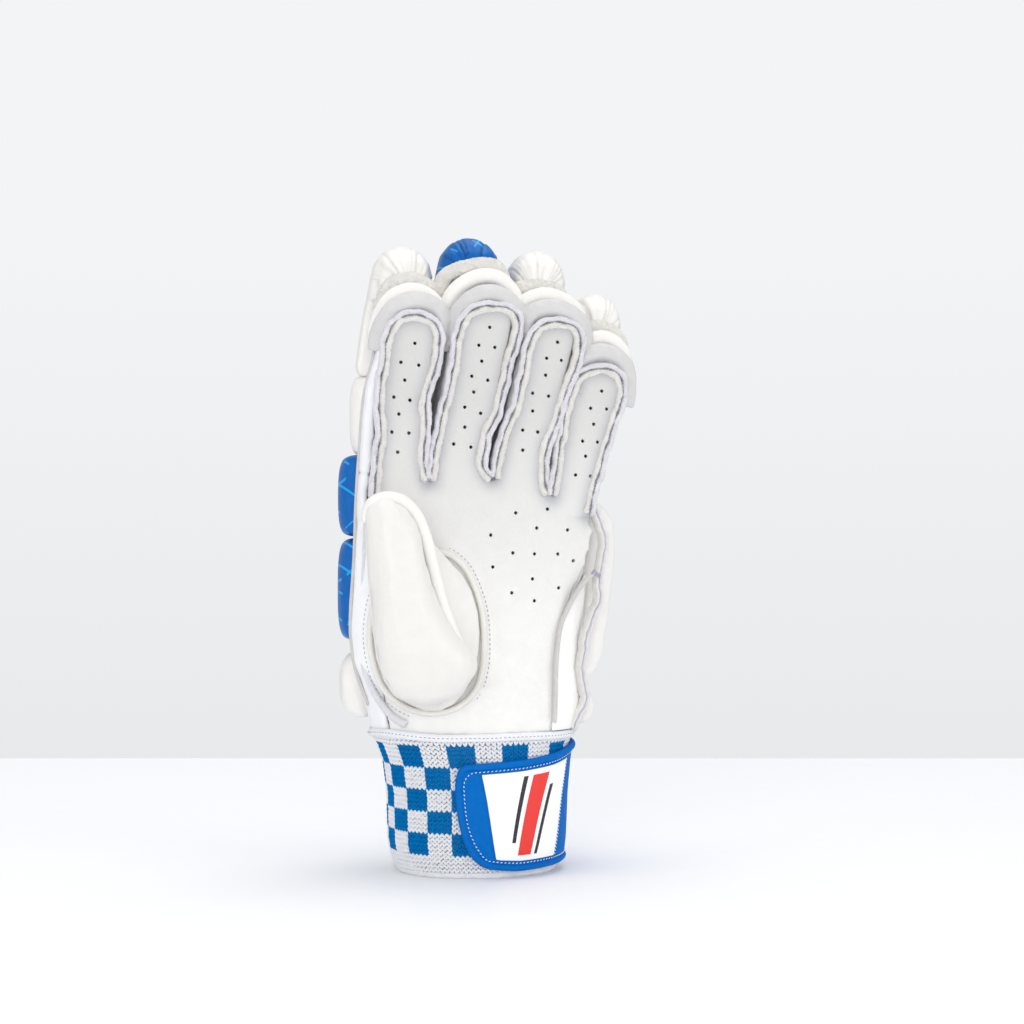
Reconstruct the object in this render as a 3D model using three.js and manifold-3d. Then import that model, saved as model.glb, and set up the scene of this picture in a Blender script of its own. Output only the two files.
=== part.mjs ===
// Cricket batting glove for the left hand, standing on its knitted cuff.
// Millimetres, +Z up. The palm faces -Y and the thumb lies towards -X.
import * as THREE from 'three';
import { mergeVertices } from 'three/addons/utils/BufferGeometryUtils.js';
import Module from 'manifold-3d';

const wasm = await Module();
wasm.setup();

// Driving sizes of the hand
const cuffHeight = 62;
const cuffHalfWidth = 39.5;
const cuffHalfDepth = 33.5;
const cuffCentreX = -1.3;
const cuffWall = 3;
const hemHeight = 3;
const crotchHeight = 176;
const palmHalfWidth = 52;
const palmSide = 1.1;
const palmFront = 22;
const palmBack = 20;
const leatherWall = 2;
const fingerLength = 79;
const fingerGap = 0.4;
const fingerHalfWidth = palmHalfWidth / 4 - fingerGap / 2;
const fingerBack = 8;
const fingerRoot = 18;
const rootDrop = 8;
const tipRise = 15;

// Driving sizes of the padding and trim
const capLength = 59;
const capRise = 31;
const capFront = 4;
const capDepth = 28;
const rollDepth = 31;
const barDepth = 38;
const padStart = 9;
const wrapThickness = 1.5;
const tipRollThickness = 3;
const tipBandFront = 16.6;
const tipBandSplit = 10.2;
const seamWidth = 4.4;
const seamProud = 2.6;
const seamFoot = 4;
const seamBend = 11;
const thumbHeight = 91;
const thumbFoot = 76;
const thumbWidth = 47;
const thumbOverhang = 1.8;
const thumbLeft = -palmHalfWidth * palmSide - thumbOverhang;
const thumbSeat = 37;
const thumbDepth = 15.5;
const thumbWall = 5;
const thumbPipe = 1.5;
const holeHalfWidth = 25.4;
const holeMargin = 3.8;
const holeX = holeMargin + holeHalfWidth - palmHalfWidth * palmSide;
const holeZ = 107;
const holeHalfHeight = 37.4;
const rimRadius = 2.5;
const heelThickness = 1.5;
const strapThickness = 2.4;
const strapPipe = 1.5;
const labelThickness = 0.8;
const clearance = 0.3;

// Palm sections from the cuff to the finger roots.
// up is a share of the hand's height, left and right of the palm's half width,
// front and back of the palm's own depths, power squares the section.
const palmRows = [
  { up: 0.07, left: 1.0, right: 0.83, front: 1.39, back: 1.5, power: 2.4 },
  { up: 0.16, left: 1.05, right: 0.84, front: 1.2, back: 1.3, power: 2.7 },
  { up: 0.26, left: 1.08, right: 0.82, front: 1.07, back: 1.12, power: 3 },
  { up: 0.4, left: palmSide, right: 0.83, front: 1.01, back: 1.03, power: 3.2 },
  { up: 0.6, left: 1.08, right: 0.875, front: 1, back: 1, power: 3.4 },
  { up: 0.77, left: 1.07, right: 0.91, front: 1, back: 1, power: 3.6 },
  { up: 0.93, left: 1.055, right: 0.935, front: 1, back: 0.95, power: 3.8 },
  { up: 1, left: 1.02, right: 0.9, front: 0.9, back: 0.8, power: 3.4 },
];

// Cuff sections, as shares of the cuff's height, half width and half depth
const cuffRows = [
  { up: 0, left: 0.94, right: 0.86, depth: 0.93 },
  { up: 0.13, left: 1.0, right: 0.9, depth: 0.985 },
  { up: 0.24, left: 1.03, right: 0.92, depth: 1 },
  { up: 0.56, left: 1.04, right: 0.94, depth: 1 },
  { up: 0.8, left: 1.09, right: 0.975, depth: 1 },
  { up: 0.92, left: 1.16, right: 1.01, depth: 1.005 },
  { up: 1, left: 1.24, right: 1.07, depth: 1.015 },
];

// Fingers. base, top, cap, roll and bar are centres as shares of the palm's half width,
// length is a share of the longest finger, width of the finger's half width, flare widens
// its tip, capWidth is the cap's half width, rise a share of the cap's rise.
const fingers = [
  { name: 'index', base: -0.794, top: -0.673, cap: -0.673, roll: -0.83, bar: -0.91,
    length: 0.93, width: 0.985, flare: 1.02, capWidth: 1.11, rise: 1, white: true },
  { name: 'middle', base: -0.267, top: -0.03, cap: -0.08, roll: -0.24, bar: -0.346,
    length: 0.987, width: 1.03, flare: 1.07, capWidth: 1.13, rise: 1, white: false },
  { name: 'ring', base: 0.262, top: 0.55, cap: 0.52, roll: 0.33, bar: 0.218,
    length: 0.9, width: 0.97, flare: 1.02, capWidth: 1.08, rise: 1.06, white: true },
  { name: 'little', base: 0.729, top: 1.0, cap: 1.05, roll: 0.86, bar: 0.782,
    length: 0.64, width: 0.93, flare: 1.05, capWidth: 0.99, rise: 1.1, white: true },
];

// Finger end above the panel: rise is a share of the tip's rise, front of the palm's front depth
const tipRows = [
  { rise: -0.55, front: 1, width: 1 },
  { rise: 0, front: 0.95, width: 0.99 },
  { rise: 0.36, front: 0.72, width: 0.93 },
  { rise: 0.74, front: 0.39, width: 0.78 },
  { rise: 1, front: 0.06, width: 0.4 },
];

// Padded back: each row's lower and upper end as shares of the hand's height, with the step
// of each finger's segments and the share of that step at the segments' lower end
const barRows = {
  knuckle_bar: { low: 0.768, high: 1.085, lowStep: 1 },
  back_bar: { low: 0.356, high: 0.756, lowStep: 0.6 },
};
const barStep = [0, 0.009, -0.015, -0.077];
const wristRollLow = 0.043;

// Thumb outline from foot to tip, as shares of its height and width
const thumbRows = [
  { up: 0.01, left: 0.44, right: 0.66, depth: 0.25 },
  { up: 0.05, left: 0.27, right: 0.83, depth: 0.55 },
  { up: 0.14, left: 0.13, right: 0.96, depth: 0.8 },
  { up: 0.22, left: 0.06, right: 0.99, depth: 0.95 },
  { up: 0.34, left: 0.01, right: 0.81, depth: 1 },
  { up: 0.46, left: -0.01, right: 0.69, depth: 1 },
  { up: 0.6, left: -0.035, right: 0.6, depth: 0.97 },
  { up: 0.75, left: -0.055, right: 0.53, depth: 0.9 },
  { up: 0.86, left: -0.075, right: 0.49, depth: 0.8 },
  { up: 0.94, left: -0.075, right: 0.39, depth: 0.62 },
  { up: 0.99, left: 0.0, right: 0.25, depth: 0.3 },
];

// Left border of the heel patch: across is a share of the palm's half width, up of the hand's height
const heelRows = [
  { up: 0.01, across: 0.49 },
  { up: 0.18, across: 0.53 },
  { up: 0.28, across: 0.54 },
  { up: 0.41, across: 0.585 },
  { up: 0.53, across: 0.7 },
  { up: 0.62, across: 0.86 },
];

// Welt on the thumb side, from the index finger's root down to the cuff
const weltRows = [
  { up: 0.93, across: 1.03 },
  { up: 0.75, across: 1.045 },
  { up: 0.57, across: 1.06 },
  { up: 0.4, across: 1.075 },
  { up: 0.27, across: 1.06 },
  { up: 0.17, across: 0.985 },
  { up: 0.11, across: 0.91 },
  { up: 0.07, across: 0.83 },
  { up: 0.045, across: 0.74 },
];

// Side pads on the little finger side: up is a share of the hand's height,
// reach a share of the palm's half width, measured from the middle of the hand
const sidePads = {
  side_pad_upper: [
    { up: 0.19, reach: 0.9 },
    { up: 0.23, reach: 1.0 },
    { up: 0.3, reach: 1.07 },
    { up: 0.5, reach: 1.14 },
    { up: 0.7, reach: 1.19 },
    { up: 0.82, reach: 1.17 },
    { up: 0.88, reach: 1.09 },
    { up: 0.91, reach: 0.97 },
  ],
  side_pad_lower: [
    { up: 0.012, reach: 0.86 },
    { up: 0.035, reach: 0.95 },
    { up: 0.09, reach: 1.01 },
    { up: 0.14, reach: 0.97 },
    { up: 0.165, reach: 0.88 },
  ],
};
const sidePadInner = 0.7;
const sidePadFront = 8;

// Wrist strap: turn in degrees from the front towards the little finger side,
// low and high as shares of the cuff's height
const strapRows = [
  { turn: -21, low: 0.17, high: 0.72 },
  { turn: -16, low: 0.12, high: 0.775 },
  { turn: -8, low: 0.09, high: 0.795 },
  { turn: 10, low: 0.085, high: 0.8 },
  { turn: 30, low: 0.085, high: 0.83 },
  { turn: 50, low: 0.09, high: 0.87 },
  { turn: 70, low: 0.1, high: 0.905 },
  { turn: 90, low: 0.11, high: 0.91 },
  { turn: 115, low: 0.12, high: 0.88 },
  { turn: 145, low: 0.13, high: 0.84 },
  { turn: 175, low: 0.13, high: 0.82 },
  { turn: 200, low: 0.13, high: 0.82 },
];
const labelStart = -13;
const labelEnd = 46;
const labelInset = 2.6;

const handHeight = crotchHeight - cuffHeight;
const palmSides = 24;
const tubeSides = 12;
const padSides = 12;
const meshTolerance = 0.12;
const pipeSides = 6;

const leather = { color: 0xe9e9e8, roughness: 0.62 };
const greyLeather = { color: 0xd8d9da, roughness: 0.7 };
const whitePad = { color: 0xf7f6f2, roughness: 0.45 };
const bluePad = { color: 0x0f6ed2, roughness: 0.4 };
const suede = { color: 0xe3e1e6, roughness: 0.95 };
const backCloth = { color: 0xf0f0f0, roughness: 0.85 };
const knit = { color: 0x7fb0d6, roughness: 0.95 };
const strapFabric = { color: 0x1f6fd6, roughness: 0.7 };
const labelFilm = { color: 0xf4f4f2, roughness: 0.5 };

const glove = new THREE.Group();

// Height above the floor of a share of the hand's height
function handAt(up) {
  return cuffHeight + up * handHeight;
}

// Value of one column of a table at a place between its rows
function tableValue(rows, key, column, place) {
  if (place <= rows[0][key]) {
    return rows[0][column];
  }
  for (let i = 1; i < rows.length; i += 1) {
    const low = rows[i - 1];
    const high = rows[i];
    if (place <= high[key]) {
      const share = (place - low[key]) / (high[key] - low[key]);
      return low[column] + (high[column] - low[column]) * share;
    }
  }
  return rows[rows.length - 1][column];
}

// Rounded section between four sides at one height
function sectionRing({ left, right, front, back, z, power }, sides) {
  const ring = [];
  for (let i = 0; i < sides; i += 1) {
    const turn = (2 * Math.PI * (i + 0.5)) / sides;
    const c = Math.cos(turn);
    const s = Math.sin(turn);
    const x = (left + right) / 2 + ((right - left) / 2) * Math.sign(c) * Math.abs(c) ** (2 / power);
    const y = (front + back) / 2 + ((back - front) / 2) * Math.sign(s) * Math.abs(s) ** (2 / power);
    ring.push(new THREE.Vector3(x, y, z));
  }
  return ring;
}

// Section moved outwards by a distance
function grown(section, by) {
  return {
    ...section,
    left: section.left - by,
    right: section.right + by,
    front: section.front - by,
    back: section.back + by,
  };
}

// Closed skin through rings of equal count
function loft(rings) {
  const sides = rings[0].length;
  const points = rings.flat();
  const index = [];
  for (let r = 0; r + 1 < rings.length; r += 1) {
    for (let i = 0; i < sides; i += 1) {
      const a = r * sides + i;
      const b = r * sides + ((i + 1) % sides);
      index.push(a, b, b + sides, a, b + sides, a + sides);
    }
  }
  for (const [ring, start] of [[rings[0], 0], [rings[rings.length - 1], (rings.length - 1) * sides]]) {
    const middle = new THREE.Vector3();
    ring.forEach((point) => middle.addScaledVector(point, 1 / sides));
    const hub = points.push(middle) - 1;
    for (let i = 0; i < sides; i += 1) {
      const a = start + i;
      const b = start + ((i + 1) % sides);
      index.push(...(start === 0 ? [hub, b, a] : [hub, a, b]));
    }
  }
  const geometry = new THREE.BufferGeometry().setFromPoints(points);
  geometry.setIndex(index);
  return solid(geometry);
}

// Closed band round a loop of rings
function loopLoft(rings) {
  const sides = rings[0].length;
  const index = [];
  for (let r = 0; r < rings.length; r += 1) {
    const next = (r + 1) % rings.length;
    for (let i = 0; i < sides; i += 1) {
      const j = (i + 1) % sides;
      const quad = [r * sides + i, r * sides + j, next * sides + j, next * sides + i];
      index.push(quad[0], quad[1], quad[2], quad[0], quad[2], quad[3]);
    }
  }
  const geometry = new THREE.BufferGeometry().setFromPoints(rings.flat());
  geometry.setIndex(index);
  return solid(geometry);
}

// Solid from a closed geometry, turned the right way out
function solid(geometry) {
  const bare = geometry.clone();
  bare.deleteAttribute('normal');
  bare.deleteAttribute('uv');
  const merged = mergeVertices(bare, 1e-5);
  const vertProperties = new Float32Array(merged.attributes.position.array);
  const triVerts = new Uint32Array(merged.index.array);
  let volume = 0;
  const corner = (i) => new THREE.Vector3().fromArray(vertProperties, 3 * triVerts[i]);
  for (let i = 0; i < triVerts.length; i += 3) {
    volume += corner(i).dot(corner(i + 1).cross(corner(i + 2)));
  }
  if (volume < 0) {
    triVerts.reverse();
  }
  return new wasm.Manifold(new wasm.Mesh({ numProp: 3, vertProperties, triVerts }));
}

// Block between six sides, used to split shells into panels
function block(x0, x1, y0, y1, z0, z1) {
  const box = new THREE.BoxGeometry(x1 - x0, y1 - y0, z1 - z0);
  box.translate((x0 + x1) / 2, (y0 + y1) / 2, (z0 + z1) / 2);
  return solid(box);
}

// Round tube along a curve
function pipe(points, radius, steps, sides) {
  const shape = new THREE.Shape();
  shape.absarc(0, 0, radius, 0, 2 * Math.PI, false);
  const route = new THREE.CatmullRomCurve3(points);
  const tube = new THREE.ExtrudeGeometry(shape, {
    steps,
    extrudePath: route,
    curveSegments: sides / 2,
    bevelEnabled: false,
  });
  return solid(tube);
}

// Named piece of the glove, kept as its one largest body
function piece(name, body, look) {
  const bodies = body.simplify(meshTolerance).decompose();
  bodies.sort((a, b) => b.volume() - a.volume());
  const result = bodies[0].getMesh();
  const geometry = new THREE.BufferGeometry();
  geometry.setAttribute('position', new THREE.BufferAttribute(result.vertProperties, 3));
  geometry.setIndex(new THREE.BufferAttribute(result.triVerts, 1));
  geometry.computeVertexNormals();
  const mesh = new THREE.Mesh(geometry, new THREE.MeshStandardMaterial({ ...look, metalness: 0 }));
  mesh.name = name;
  glove.add(mesh);
}

// Cuff section at a height, on its outer face
function cuffSection(z) {
  const up = z / cuffHeight;
  const depth = cuffHalfDepth * tableValue(cuffRows, 'up', 'depth', up);
  return {
    left: cuffCentreX - cuffHalfWidth * tableValue(cuffRows, 'up', 'left', up),
    right: cuffCentreX + cuffHalfWidth * tableValue(cuffRows, 'up', 'right', up),
    front: -depth,
    back: depth,
    z,
    power: 2.2,
  };
}

// Palm section at a height; the lowest one meets the cuff
function palmSection(z) {
  const up = (z - cuffHeight) / handHeight;
  const seat = cuffSection(cuffHeight);
  const rows = [
    {
      up: 0,
      left: -seat.left / palmHalfWidth,
      right: seat.right / palmHalfWidth,
      front: -seat.front / palmFront,
      back: seat.back / palmBack,
      power: seat.power,
    },
    ...palmRows,
  ];
  return {
    left: -palmHalfWidth * tableValue(rows, 'up', 'left', up),
    right: palmHalfWidth * tableValue(rows, 'up', 'right', up),
    front: -palmFront * tableValue(rows, 'up', 'front', up),
    back: palmBack * tableValue(rows, 'up', 'back', up),
    z,
    power: tableValue(rows, 'up', 'power', up),
  };
}

// Height of the palm's front face under a point
function palmFrontAt(x, z) {
  const s = palmSection(z);
  const share = Math.min(1, Math.abs(x - (s.left + s.right) / 2) / ((s.right - s.left) / 2));
  const drop = (1 - share ** s.power) ** (1 / s.power);
  return (s.front + s.back) / 2 - ((s.back - s.front) / 2) * drop;
}

// Palm body, grown outwards or inwards; drop slopes the finger roots towards the little finger
function palmBody(by, bottom) {
  const heights = [bottom, ...palmRows.map((row) => handAt(row.up))];
  heights[heights.length - 1] += by;
  const rings = heights.map((z, i) => {
    const ring = sectionRing(grown(palmSection(z), by), palmSides);
    const late = Math.max(0, i - (heights.length - 3)) / 2;
    ring.forEach((point) => {
      point.z -= late * rootDrop * Math.max(0, point.x / palmHalfWidth);
    });
    return ring;
  });
  return loft(rings);
}

function fingerTop(finger) {
  return crotchHeight + fingerLength * finger.length;
}

// Finger section at a height, with the front falling back over the tip
function fingerSection(finger, z) {
  const top = fingerTop(finger);
  const share = (z - crotchHeight) / (top - crotchHeight);
  const rise = (z - top) / tipRise;
  const centre = palmHalfWidth * (finger.base + (finger.top - finger.base) * Math.min(1.1, share));
  const flare = 1 + (finger.flare - 1) * Math.max(0, Math.min(1, share));
  const half = fingerHalfWidth * finger.width * flare * tableValue(tipRows, 'rise', 'width', rise);
  return {
    left: centre - half,
    right: centre + half,
    front: -palmFront * tableValue(tipRows, 'rise', 'front', rise),
    back: fingerBack,
    z,
    power: 4,
  };
}

// Finger stall, grown outwards or inwards
function fingerBody(finger, by) {
  const top = fingerTop(finger);
  const middle = (crotchHeight + top) / 2;
  const heights = [crotchHeight - fingerRoot, middle, ...tipRows.map((row) => top + row.rise * tipRise)];
  const kept = by < 0 ? heights.filter((z, i) => i !== 1 && i !== 4) : heights;
  const rings = kept.map((z) => {
    const section = grown(fingerSection(finger, z), by);
    section.z = z + (z > top ? by : 0);
    return sectionRing(section, by < 0 ? padSides : tubeSides);
  });
  return loft(rings);
}

// Padded roll between two heights, rounded at both ends
function padBody({ centre, half, front, back, low, high, power = 2.8 }) {
  const rows = [
    { up: 0, size: 0.78 },
    { up: 0.07, size: 0.92 },
    { up: 0.27, size: 1 },
    { up: 0.73, size: 1 },
    { up: 0.93, size: 0.92 },
    { up: 1, size: 0.78 },
  ];
  const rings = rows.map((row) => {
    const reach = front + (back - front) * row.size;
    const section = {
      left: centre - half * (0.5 + row.size / 2),
      right: centre + half * (0.5 + row.size / 2),
      front,
      back: reach,
      z: low + (high - low) * row.up,
      power,
    };
    return sectionRing(section, padSides);
  });
  return loft(rings);
}

// Fingertip cap, closed by a dome
function capBody(finger) {
  const top = fingerTop(finger) + capRise * finger.rise;
  const low = top - capLength;
  const half = fingerHalfWidth * finger.capWidth;
  const centreY = (capDepth - capFront) / 2;
  const rows = [
    { up: 0, size: 0.8, lean: 0 },
    { up: 0.07, size: 0.96, lean: 0.1 },
    { up: 0.4, size: 1.02, lean: 0.55 },
    { up: 0.75, size: 1, lean: 1 },
    { up: 0.86, size: 0.9, lean: 1 },
    { up: 0.95, size: 0.62, lean: 1 },
    { up: 1, size: 0.2, lean: 1 },
  ];
  const rings = rows.map((row) => {
    const centre = palmHalfWidth * (finger.roll + (finger.cap - finger.roll) * row.lean);
    return sectionRing({
      left: centre - half * row.size,
      right: centre + half * row.size,
      front: centreY - (centreY + capFront) * row.size,
      back: centreY + (capDepth - centreY) * row.size,
      z: low + capLength * row.up,
      power: 2.5,
    }, padSides);
  });
  return loft(rings);
}

// Flat-backed strip along a route on the palm side, with its section across the route and Y
function strip(route, halfWidth, halfDepth) {
  const corners = [[-1, -1], [1, -1], [1, 1], [-1, 1]];
  const rings = route.map((point, i) => {
    const before = route[Math.max(0, i - 1)];
    const after = route[Math.min(route.length - 1, i + 1)];
    const along = new THREE.Vector3().subVectors(after, before).setY(0).normalize();
    const across = new THREE.Vector3(along.z, 0, -along.x);
    return corners.map(([side, depth]) => {
      const spot = point.clone().addScaledVector(across, side * halfWidth);
      spot.y += depth * halfDepth;
      return spot;
    });
  });
  return loft(rings);
}

const outerPalm = palmBody(0, cuffHeight + clearance);
const outerFingers = fingers.map((finger) => fingerBody(finger, 0));
const innerPalm = palmBody(-leatherWall, cuffHeight - clearance);
const innerFingers = fingers.map((finger) => fingerBody(finger, -leatherWall));
const clearPalm = palmBody(clearance, cuffHeight - clearance);
const clearFingers = fingers.map((finger) => fingerBody(finger, clearance));
const outer = outerFingers.reduce((sum, body) => sum.add(body), outerPalm);
const inner = innerFingers.reduce((sum, body) => sum.add(body), innerPalm);
const clearHand = clearFingers.reduce((sum, body) => sum.add(body), clearPalm);
const shell = outer.subtract(inner);
const far = 400;
const panelSplit = 0.77 * palmFront;

// Oval hole in the palm where the thumb comes out, inside its rolled rim
function ovalBody(by) {
  const oval = new THREE.CylinderGeometry(1, 1, 2 * palmFront, 28);
  oval.scale(holeHalfWidth - rimRadius + by, 1, holeHalfHeight - rimRadius + by);
  oval.translate(holeX, -1.6 * palmFront, holeZ);
  return solid(oval);
}

function addShell() {
  const front = shell.intersect(block(-far, far, -far, -panelSplit, 0, far));
  const webTop = crotchHeight + 2 * clearance;
  const middle = block(-far, far, -panelSplit + clearance, fingerBack, 0, webTop);
  const upper = block(-far, far, -panelSplit + clearance, fingerBack + clearance, webTop + clearance, far);
  const rear = block(-far, far, fingerBack + clearance, far, 0, far);
  piece('palm_leather', front.subtract(ovalBody(0)), leather);
  piece('hand_gusset', shell.intersect(middle).subtract(ovalBody(0)), backCloth);
  const sleeves = shell.intersect(upper).decompose();
  sleeves.sort((a, b) => b.volume() - a.volume());
  const left = (body) => body.boundingBox().min[0];
  sleeves.slice(0, fingers.length).sort((a, b) => left(a) - left(b)).forEach((sleeve, i) => {
    piece(`finger_gusset_${fingers[i].name}`, sleeve, backCloth);
  });
  piece('back_cloth', shell.intersect(rear), backCloth);
}

// Seam welt up one side of a finger panel, over its top and down the other side
function seamRoute(finger) {
  const top = fingerTop(finger) + 1;
  const foot = crotchHeight - seamFoot - rootDrop * Math.max(0, finger.base);
  const bend = seamBend;
  const front = -palmFront - seamProud + 2;
  const side = (sign, z) => {
    const section = fingerSection(finger, Math.min(z, fingerTop(finger)));
    const share = Math.min(1, Math.max(0, (z - foot) / (top - foot)));
    const inset = 1.9 - 0.9 * share - 0.35 * Math.sin((share + 0.1) * 19) * (share < 0.9 ? 1 : 0);
    return sign * ((section.right - section.left) / 2 - inset) + (section.right + section.left) / 2;
  };
  const left = [];
  const right = [];
  const count = 6;
  for (let i = 0; i <= count; i += 1) {
    const z = foot + ((top - bend - foot) * i) / count;
    left.push(new THREE.Vector3(side(-1, z), front, z));
    right.unshift(new THREE.Vector3(side(1, z), front, z));
  }
  const arch = [];
  for (const turn of [28, 60, 90, 120, 152]) {
    const angle = (turn * Math.PI) / 180;
    const half = (side(1, top - bend) - side(-1, top - bend)) / 2;
    const middle = (side(1, top - bend) + side(-1, top - bend)) / 2;
    const x = middle - half * Math.sign(Math.cos(angle)) * Math.abs(Math.cos(angle)) ** 0.75;
    const lift = Math.sin(angle) ** 0.9;
    arch.push(new THREE.Vector3(x, front + 1.6 * lift, top - bend + bend * lift));
  }
  return [...left, ...arch, ...right];
}

function addFingers() {
  fingers.forEach((finger, i) => {
    const top = fingerTop(finger);
    const seam = strip(seamRoute(finger), seamWidth / 2, seamWidth / 2);
    const last = fingers[i - 1];
    const room = last ? strip(seamRoute(last), seamWidth / 2 + clearance, seamWidth) : null;
    piece(`${finger.name}_seam`, (room ? seam.subtract(room) : seam).subtract(clearHand), suede);

    // Bands over the fingertip: a flat leather wrap in front, a padded roll behind it
    const tip = (y0, y1, z0) => block(-far, far, y0, y1, z0, far);
    const wrap = fingerBody(finger, clearance + wrapThickness).subtract(clearHand);
    const bandFoot = top - tipRise;
    let front = wrap.intersect(tip(-tipBandFront, -tipBandSplit - clearance, bandFoot));
    front = front.subtract(strip(seamRoute(finger), seamWidth / 2 + clearance, seamWidth / 2 + clearance));
    const roll = fingerBody(finger, clearance + tipRollThickness).subtract(clearHand);
    let rear = roll.intersect(tip(-tipBandSplit, -capFront - clearance, top - 0.4 * tipRise));
    for (const other of fingers) {
      if (other !== finger) {
        const room = fingerBody(other, 2 * clearance + wrapThickness);
        front = front.subtract(room);
        rear = rear.subtract(fingerBody(other, 2 * clearance + tipRollThickness));
      }
    }
    piece(`tip_wrap_${finger.name}`, front, greyLeather);
    piece(`tip_roll_${finger.name}`, rear, whitePad);

    // Gathered cap behind and above the fingertip
    const above = block(-far, far, -capFront, far, top + 0.4 * tipRise, far);
    const behind = block(-far, far, fingerBack + clearance, far, 0, far);
    const cap = capBody(finger).intersect(above.add(behind)).subtract(clearFingers[i]);
    piece(`cap_${finger.name}`, cap, finger.white ? whitePad : bluePad);

    // Second roll behind the finger
    const capLow = top + capRise * finger.rise - capLength;
    const roots = palmHalfWidth * finger.roll;
    const second = padBody({
      centre: roots,
      half: fingerHalfWidth * finger.capWidth,
      front: fingerBack + clearance,
      back: rollDepth,
      low: handAt(barRows.knuckle_bar.high + barStep[i]) + 2 * clearance,
      high: capLow - clearance,
    });
    piece(`finger_roll_${finger.name}`, second.subtract(clearHand), whitePad);

    // Blue bars over the knuckles and the back of the hand
    for (const [name, row] of Object.entries(barRows)) {
      const bar = padBody({
        centre: palmHalfWidth * finger.bar,
        half: palmHalfWidth * 0.276,
        front: padStart,
        back: barDepth,
        low: handAt(row.low + barStep[i] * row.lowStep),
        high: handAt(row.high + barStep[i]) - clearance,
      });
      piece(`${name}_${finger.name}`, bar.subtract(clearHand), bluePad);
    }
  });
}

function addWristRoll() {
  const roll = padBody({
    centre: -0.13 * palmHalfWidth,
    half: 1.06 * palmHalfWidth,
    front: padStart,
    back: barDepth,
    low: handAt(wristRollLow),
    high: handAt(barRows.back_bar.low + barRows.back_bar.lowStep * barStep[3]) - clearance,
    power: 4.5,
  });
  piece('wrist_roll', roll.subtract(clearHand), whitePad);
}

function addSidePads() {
  for (const [name, rows] of Object.entries(sidePads)) {
    const rings = rows.map((row, i) => {
      const end = i === 0 || i === rows.length - 1 ? 0.6 : 1;
      return sectionRing({
        left: sidePadInner * palmHalfWidth,
        right: row.reach * palmHalfWidth,
        front: -sidePadFront * end,
        back: (padStart - clearance) * end,
        z: handAt(row.up),
        power: 2.4,
      }, tubeSides);
    });
    piece(name, loft(rings).subtract(clearHand), whitePad);
  }
}

// Heel patch on the palm and the piping along its border
function heelBorder(z) {
  return palmHalfWidth * tableValue(heelRows, 'up', 'across', (z - cuffHeight) / handHeight);
}

function addHeel() {
  const heights = heelRows.map((row) => handAt(row.up));
  const shape = new THREE.Shape();
  shape.moveTo(2 * palmHalfWidth, heights[0]);
  heights.forEach((z) => shape.lineTo(heelBorder(z), z));
  shape.lineTo(2 * palmHalfWidth, heights[heights.length - 1]);
  const slab = new THREE.ExtrudeGeometry(shape, { depth: 3 * palmFront, bevelEnabled: false });
  slab.rotateX(Math.PI / 2);
  slab.translate(0, -sidePadFront - clearance, 0);
  const skin = palmBody(clearance + heelThickness, cuffHeight + clearance).subtract(clearHand);
  piece('heel_patch', skin.intersect(solid(slab)), leather);

  const radius = 1.5;
  const route = heights.map((z) => {
    const x = heelBorder(z) - radius - clearance;
    return new THREE.Vector3(x, palmFrontAt(x, z) - radius - clearance, z);
  });
  route[0].z += 1;
  const clearHeel = skin.intersect(solid(slab));
  const welt = pipe(route, radius, 14, pipeSides).subtract(clearHand).subtract(clearHeel);
  piece('heel_welt', welt, greyLeather);
}

// Welt down the thumb side, from the index finger's root round the oval to the cuff
function addSideWelt() {
  const route = weltRows.map((row) => {
    const z = handAt(row.up);
    const x = -palmHalfWidth * row.across;
    return new THREE.Vector3(x, palmFrontAt(x, z) - clearance, z);
  });
  const welt = pipe(route, seamWidth / 2, 18, pipeSides).subtract(clearHand);
  piece('side_welt', welt.subtract(rimLoop(rimRadius + clearance)), suede);
}

// Thumb outline at a height
function thumbSection(z) {
  const up = (z - thumbFoot) / thumbHeight;
  return {
    left: thumbLeft + thumbWidth * tableValue(thumbRows, 'up', 'left', up),
    right: thumbLeft + thumbWidth * tableValue(thumbRows, 'up', 'right', up),
    depth: thumbDepth * tableValue(thumbRows, 'up', 'depth', up),
  };
}

// Padded half of the thumb, grown outwards or inwards
function thumbPadBody(by) {
  const rings = thumbRows.map((row, i) => {
    const end = i === 0 ? -1 : Number(i === thumbRows.length - 1);
    const z = thumbFoot + row.up * thumbHeight;
    const s = thumbSection(z);
    const reach = Math.max(1, s.depth + by);
    const half = Math.max(1, (s.right - s.left) / 2 + by);
    const middle = (s.right + s.left) / 2;
    return sectionRing({
      left: middle - half,
      right: middle + half,
      front: -thumbSeat - reach,
      back: -thumbSeat + reach,
      z: z + end * by,
      power: 2.3,
    }, tubeSides);
  });
  return loft(rings);
}

// Ring of points round the thumb's outline or the palm's oval, in step with each other
function thumbRing(kind, by, y, count = 22) {
  const ring = [];
  for (let i = 0; i < count; i += 1) {
    const turn = (2 * Math.PI * (i + 0.5)) / count;
    const c = Math.cos(turn);
    const s = Math.sin(turn);
    if (kind === 'oval') {
      const x = holeX + (holeHalfWidth - rimRadius - clearance + by) * s;
      const z = holeZ + (holeHalfHeight - rimRadius - clearance + by) * c;
      ring.push(new THREE.Vector3(x, palmFrontAt(x, z) + y, z));
    } else {
      const z = thumbFoot + thumbHeight * (0.5 + 0.49 * c);
      const t = thumbSection(z);
      const x = s < 0 ? t.left : t.right;
      const middle = (t.left + t.right) / 2;
      const half = Math.max(1, Math.abs(x - middle) + by);
      ring.push(new THREE.Vector3(middle + Math.sign(s) * half, y, z + by * c));
    }
  }
  return ring;
}

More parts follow.
